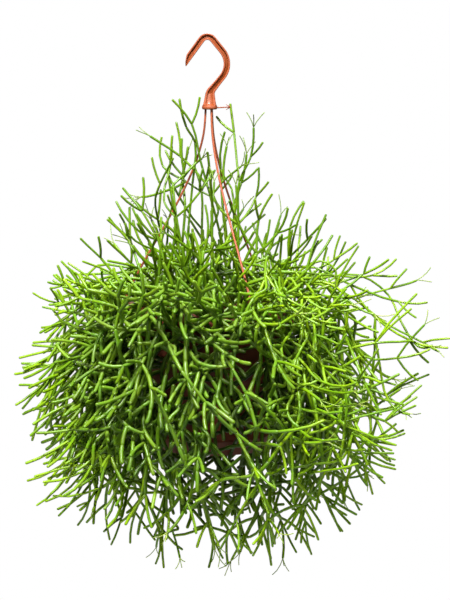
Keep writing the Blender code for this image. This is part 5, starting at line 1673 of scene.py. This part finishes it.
def make_rod(name, azimuth, material):
    """One round rod with a smooth bow and the barb below the rim."""
    points = smooth_rod_line(rod_path(azimuth))
    radii = [ROD_RADIUS] * len(points)
    below = POT_RIM_Z - POT_WALL - GAP
    radius, length = ROD_BARB
    foot = points[-1]
    barb = ((below + GAP / 2, ROD_RADIUS), (below, radius), (below - ROD_BARB_EDGE, radius * 0.98),
            (below - 0.6 * length, radius * 0.72), (below - length, ROD_POINT))
    for height, size in barb:
        points.append(Vector((foot.x, foot.y, height)))
        radii.append(size)
    node = "hanger_rod_" + name
    bm = swept(points, radii, 14)
    # The whole rod takes the plastic's lighter edge colour
    put(node, joined("fine_" + node, [(bm, [1.0] * len(bm.verts))]), material)


def pot_profile():
    """The pot's outline with rounded edges, a step under the rim, three raised rings and a foot."""
    base, foot, floor = POT_BASE_Z, POT_BASE_RADIUS, POT_BASE_Z + POT_FOOT
    points = [(0.0, floor), (foot - 4.3 * MM, floor), (foot - 3.6 * MM, base + 0.3 * MM),
              (foot - 3.0 * MM, base), (foot - 0.8 * MM, base), (foot, base + 0.8 * MM)]
    for share in POT_RING_SHARES:
        height = base + POT_HEIGHT * share
        radius = pot_radius(height)
        low, high = height - 1.2 * MM, height + 1.2 * MM
        points += [(pot_radius(low), low), (radius + 0.35 * MM, height - 0.6 * MM),
                   (radius + 0.45 * MM, height), (radius + 0.35 * MM, height + 0.6 * MM),
                   (pot_radius(high), high)]
    under = POT_RIM_Z - POT_WALL
    skirt = POT_RIM_Z - POT_SKIRT
    rim = POT_RIM_RADIUS
    inner = rim - POT_WALL
    inner_floor = floor + POT_FLOOR
    return points + [
        (pot_radius(under), under), (inner, under), (inner, skirt + 0.4 * MM), (inner + 0.4 * MM, skirt),
        (rim - 0.3 * MM, skirt), (rim, skirt + 0.4 * MM), (rim, POT_RIM_Z - 1.2 * MM),
        (rim - 0.35 * MM, POT_RIM_Z - 0.4 * MM), (rim - 1.1 * MM, POT_RIM_Z),
        (pot_radius(POT_RIM_Z) - 0.5 * MM, POT_RIM_Z), (pot_radius(under, True), under),
        (pot_radius(inner_floor, True), inner_floor), (0.0, inner_floor)]


def hole_cutters():
    """Bars where the rods go through the rim, and where water drains through the floor."""
    cutters = []
    for azimuth in ROD_AZIMUTHS.values():
        x, y = from_front(POT_AXIS_X, ROD_RING, azimuth)
        cutters.append(upright_bar(x, y, POT_RIM_Z - 3 * POT_WALL, POT_RIM_Z + POT_WALL, ROD_HOLE, 16))
    low, high = POT_BASE_Z - POT_FLOOR, POT_BASE_Z + 3 * POT_FLOOR
    for hole in range(DRAIN_HOLES):
        angle = 2.0 * math.pi * (hole + 0.5) / DRAIN_HOLES
        x, y = POT_AXIS_X + DRAIN_RING * math.cos(angle), DRAIN_RING * math.sin(angle)
        cutters.append(upright_bar(x, y, low, high, DRAIN_RADIUS, 24))
    return cutters


def pot_wear(place):
    """How worn the pot's edges are at a place."""
    across = math.hypot(place.x - POT_AXIS_X, place.y)
    top = place.z > POT_RIM_Z - 1.3 * MM and across > POT_RIM_RADIUS - 3 * MM
    foot = place.z < POT_BASE_Z + 0.9 * MM and across > POT_BASE_RADIUS - 5 * MM
    ring = 0.0 < across - pot_radius(place.z) and place.z < POT_RIM_Z - 15 * MM
    return 0.8 if top or foot else 0.5 if ring else 0.0


def make_pot(material):
    """The pot with round holes for the rods and drain holes."""
    bm = outside_out(turned(pot_profile(), 96, POT_AXIS_X))
    piece = link("fine_pot_raw", smoothed(mesh_of("fine_pot", bm), 40.0))
    cut_out(piece, hole_cutters())
    mesh = piece.data
    bpy.data.objects.remove(piece)
    mesh.name = "fine_pot"
    smoothed(mesh, 35.0)
    set_values(mesh, "edge", [pot_wear(vert.co) for vert in mesh.vertices])
    put("pot", mesh, material)


def make_soil(material):
    """The block of soil with a crumbly top."""
    low = POT_BASE_Z + POT_FOOT + POT_FLOOR + GAP
    rim = pot_radius(SOIL_Z, True) - 2 * GAP
    profile = [(0.0, low), (pot_radius(low, True) - 2 * GAP, low), (rim, SOIL_Z - 1.0 * MM)]
    for ring in range(SOIL_RINGS):
        share = 1.0 - ring / SOIL_RINGS
        profile.append((rim * share * 0.995, SOIL_Z + SOIL_DOME * (1.0 - share ** 2.2)))
    bm = turned(profile + [(0.0, SOIL_Z + SOIL_DOME)], 120, POT_AXIS_X)
    rng = random.Random(EXTRA_SEED + 3)
    crumbs = np.array([(rng.uniform(-rim, rim), rng.uniform(-rim, rim), rng.uniform(*CRUMB_SIZES) * MM)
                       for _ in range(CRUMBS)])
    for vert in bm.verts:
        x, y = vert.co.x - POT_AXIS_X, vert.co.y
        if vert.co.z < SOIL_Z - 0.5 * MM or math.hypot(x, y) > rim * 0.97:
            continue
        gaps = np.hypot(crumbs[:, 0] - vert.co.x + POT_AXIS_X, crumbs[:, 1] - y) / crumbs[:, 2]
        bulge = np.clip(1.0 - gaps ** 2, 0.0, 1.0) * crumbs[:, 2] * 0.55
        vert.co.z += float(bulge.max()) - 0.9 * MM + rng.uniform(-0.25, 0.25) * MM
    put("soil", smoothed(mesh_of("fine_soil", outside_out(bm)), 80.0), material)


def look(piece, place, aim):
    """Put a lamp or camera in its place and turn it to what it is aimed at."""
    piece.location = place
    piece.rotation_euler = (Vector(aim) - Vector(place)).to_track_quat("-Z", "Y").to_euler()


def make_floor():
    """A plain pale floor well below the hanging pot."""
    bm = bmesh.new()
    bmesh.ops.create_circle(bm, cap_ends=True, segments=96, radius=FLOOR_RADIUS)
    floor = link("floor", mesh_of("floor", bm))
    floor.location = (POT_AXIS_X, 0.0, FLOOR_Z)
    nodes = Nodes("floor_pale")
    shade = nodes.mix(nodes.noise(3.0), *FLOOR_SHADES)
    glow = nodes.band(nodes.add("LightPath").outputs["Is Camera Ray"], 0.0, 1.0, 0.0, FLOOR_GLOW)
    finish = nodes.finish(Base_Color=shade, Roughness=0.9, Emission_Color=shade, Emission_Strength=glow)
    floor.data.materials.append(finish)
    floor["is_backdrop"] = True


def make_lights():
    """Soft studio lights, all aimed at the pot."""
    for name, place, size, power, tint in LIGHTS:
        data = bpy.data.lights.new(name, "AREA")
        data.shape = "DISK"
        data.size = size
        data.energy = power
        data.spread = math.radians(LIGHT_SPREAD)
        data.color = tint
        look(link(name, data), place, LIGHT_AIM)


def make_world():
    """White surroundings that look bright but throw little light."""
    world = bpy.data.worlds.new("studio")
    world.use_nodes = True
    nodes, links = world.node_tree.nodes, world.node_tree.links
    faint, seen = nodes["Background"], nodes.new("ShaderNodeBackground")
    for background, strength in ((faint, AMBIENT), (seen, 1.0)):
        background.inputs["Color"].default_value = (1.0, 1.0, 1.0, 1.0)
        background.inputs["Strength"].default_value = strength
    mixed = nodes.new("ShaderNodeMixShader")
    links.new(nodes.new("ShaderNodeLightPath").outputs["Is Camera Ray"], mixed.inputs["Fac"])
    links.new(faint.outputs[0], mixed.inputs[1])
    links.new(seen.outputs[0], mixed.inputs[2])
    links.new(mixed.outputs[0], nodes["World Output"].inputs["Surface"])
    bpy.context.scene.world = world


def make_camera():
    """The camera of the photograph."""
    data = bpy.data.cameras.new("camera")
    data.sensor_fit = "VERTICAL"
    data.sensor_height = SENSOR
    span = (Vector(CAMERA_AIM) - Vector(CAMERA_PLACE)).length
    data.lens = SENSOR * span / CAMERA_HEIGHT_SEEN
    camera = link("camera", data)
    look(camera, CAMERA_PLACE, CAMERA_AIM)
    bpy.context.scene.camera = camera
    bpy.context.scene.view_settings.view_transform = "Standard"


def main():
    """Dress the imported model."""
    hanger = moulded("hanger_fine", *HANGER_COLOURS, HANGER_ROUGHNESS)
    make_hook(hanger)
    for name, azimuth in ROD_AZIMUTHS.items():
        make_rod(name, azimuth, hanger)
    make_pot(moulded("pot_fine", *POT_COLOURS, POT_ROUGHNESS))
    make_soil(soil_material())
    bush = grow_bush()
    grow_extra(bush)
    new_growth(bush)
    make_sprays(bush, stem_material())
    make_floor()
    make_lights()
    make_world()
    make_camera()


main()
boxes = {"cad": CAD_BOX, "visual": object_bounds()}
{name: [list(corner) for corner in box] for name, box in boxes.items()}
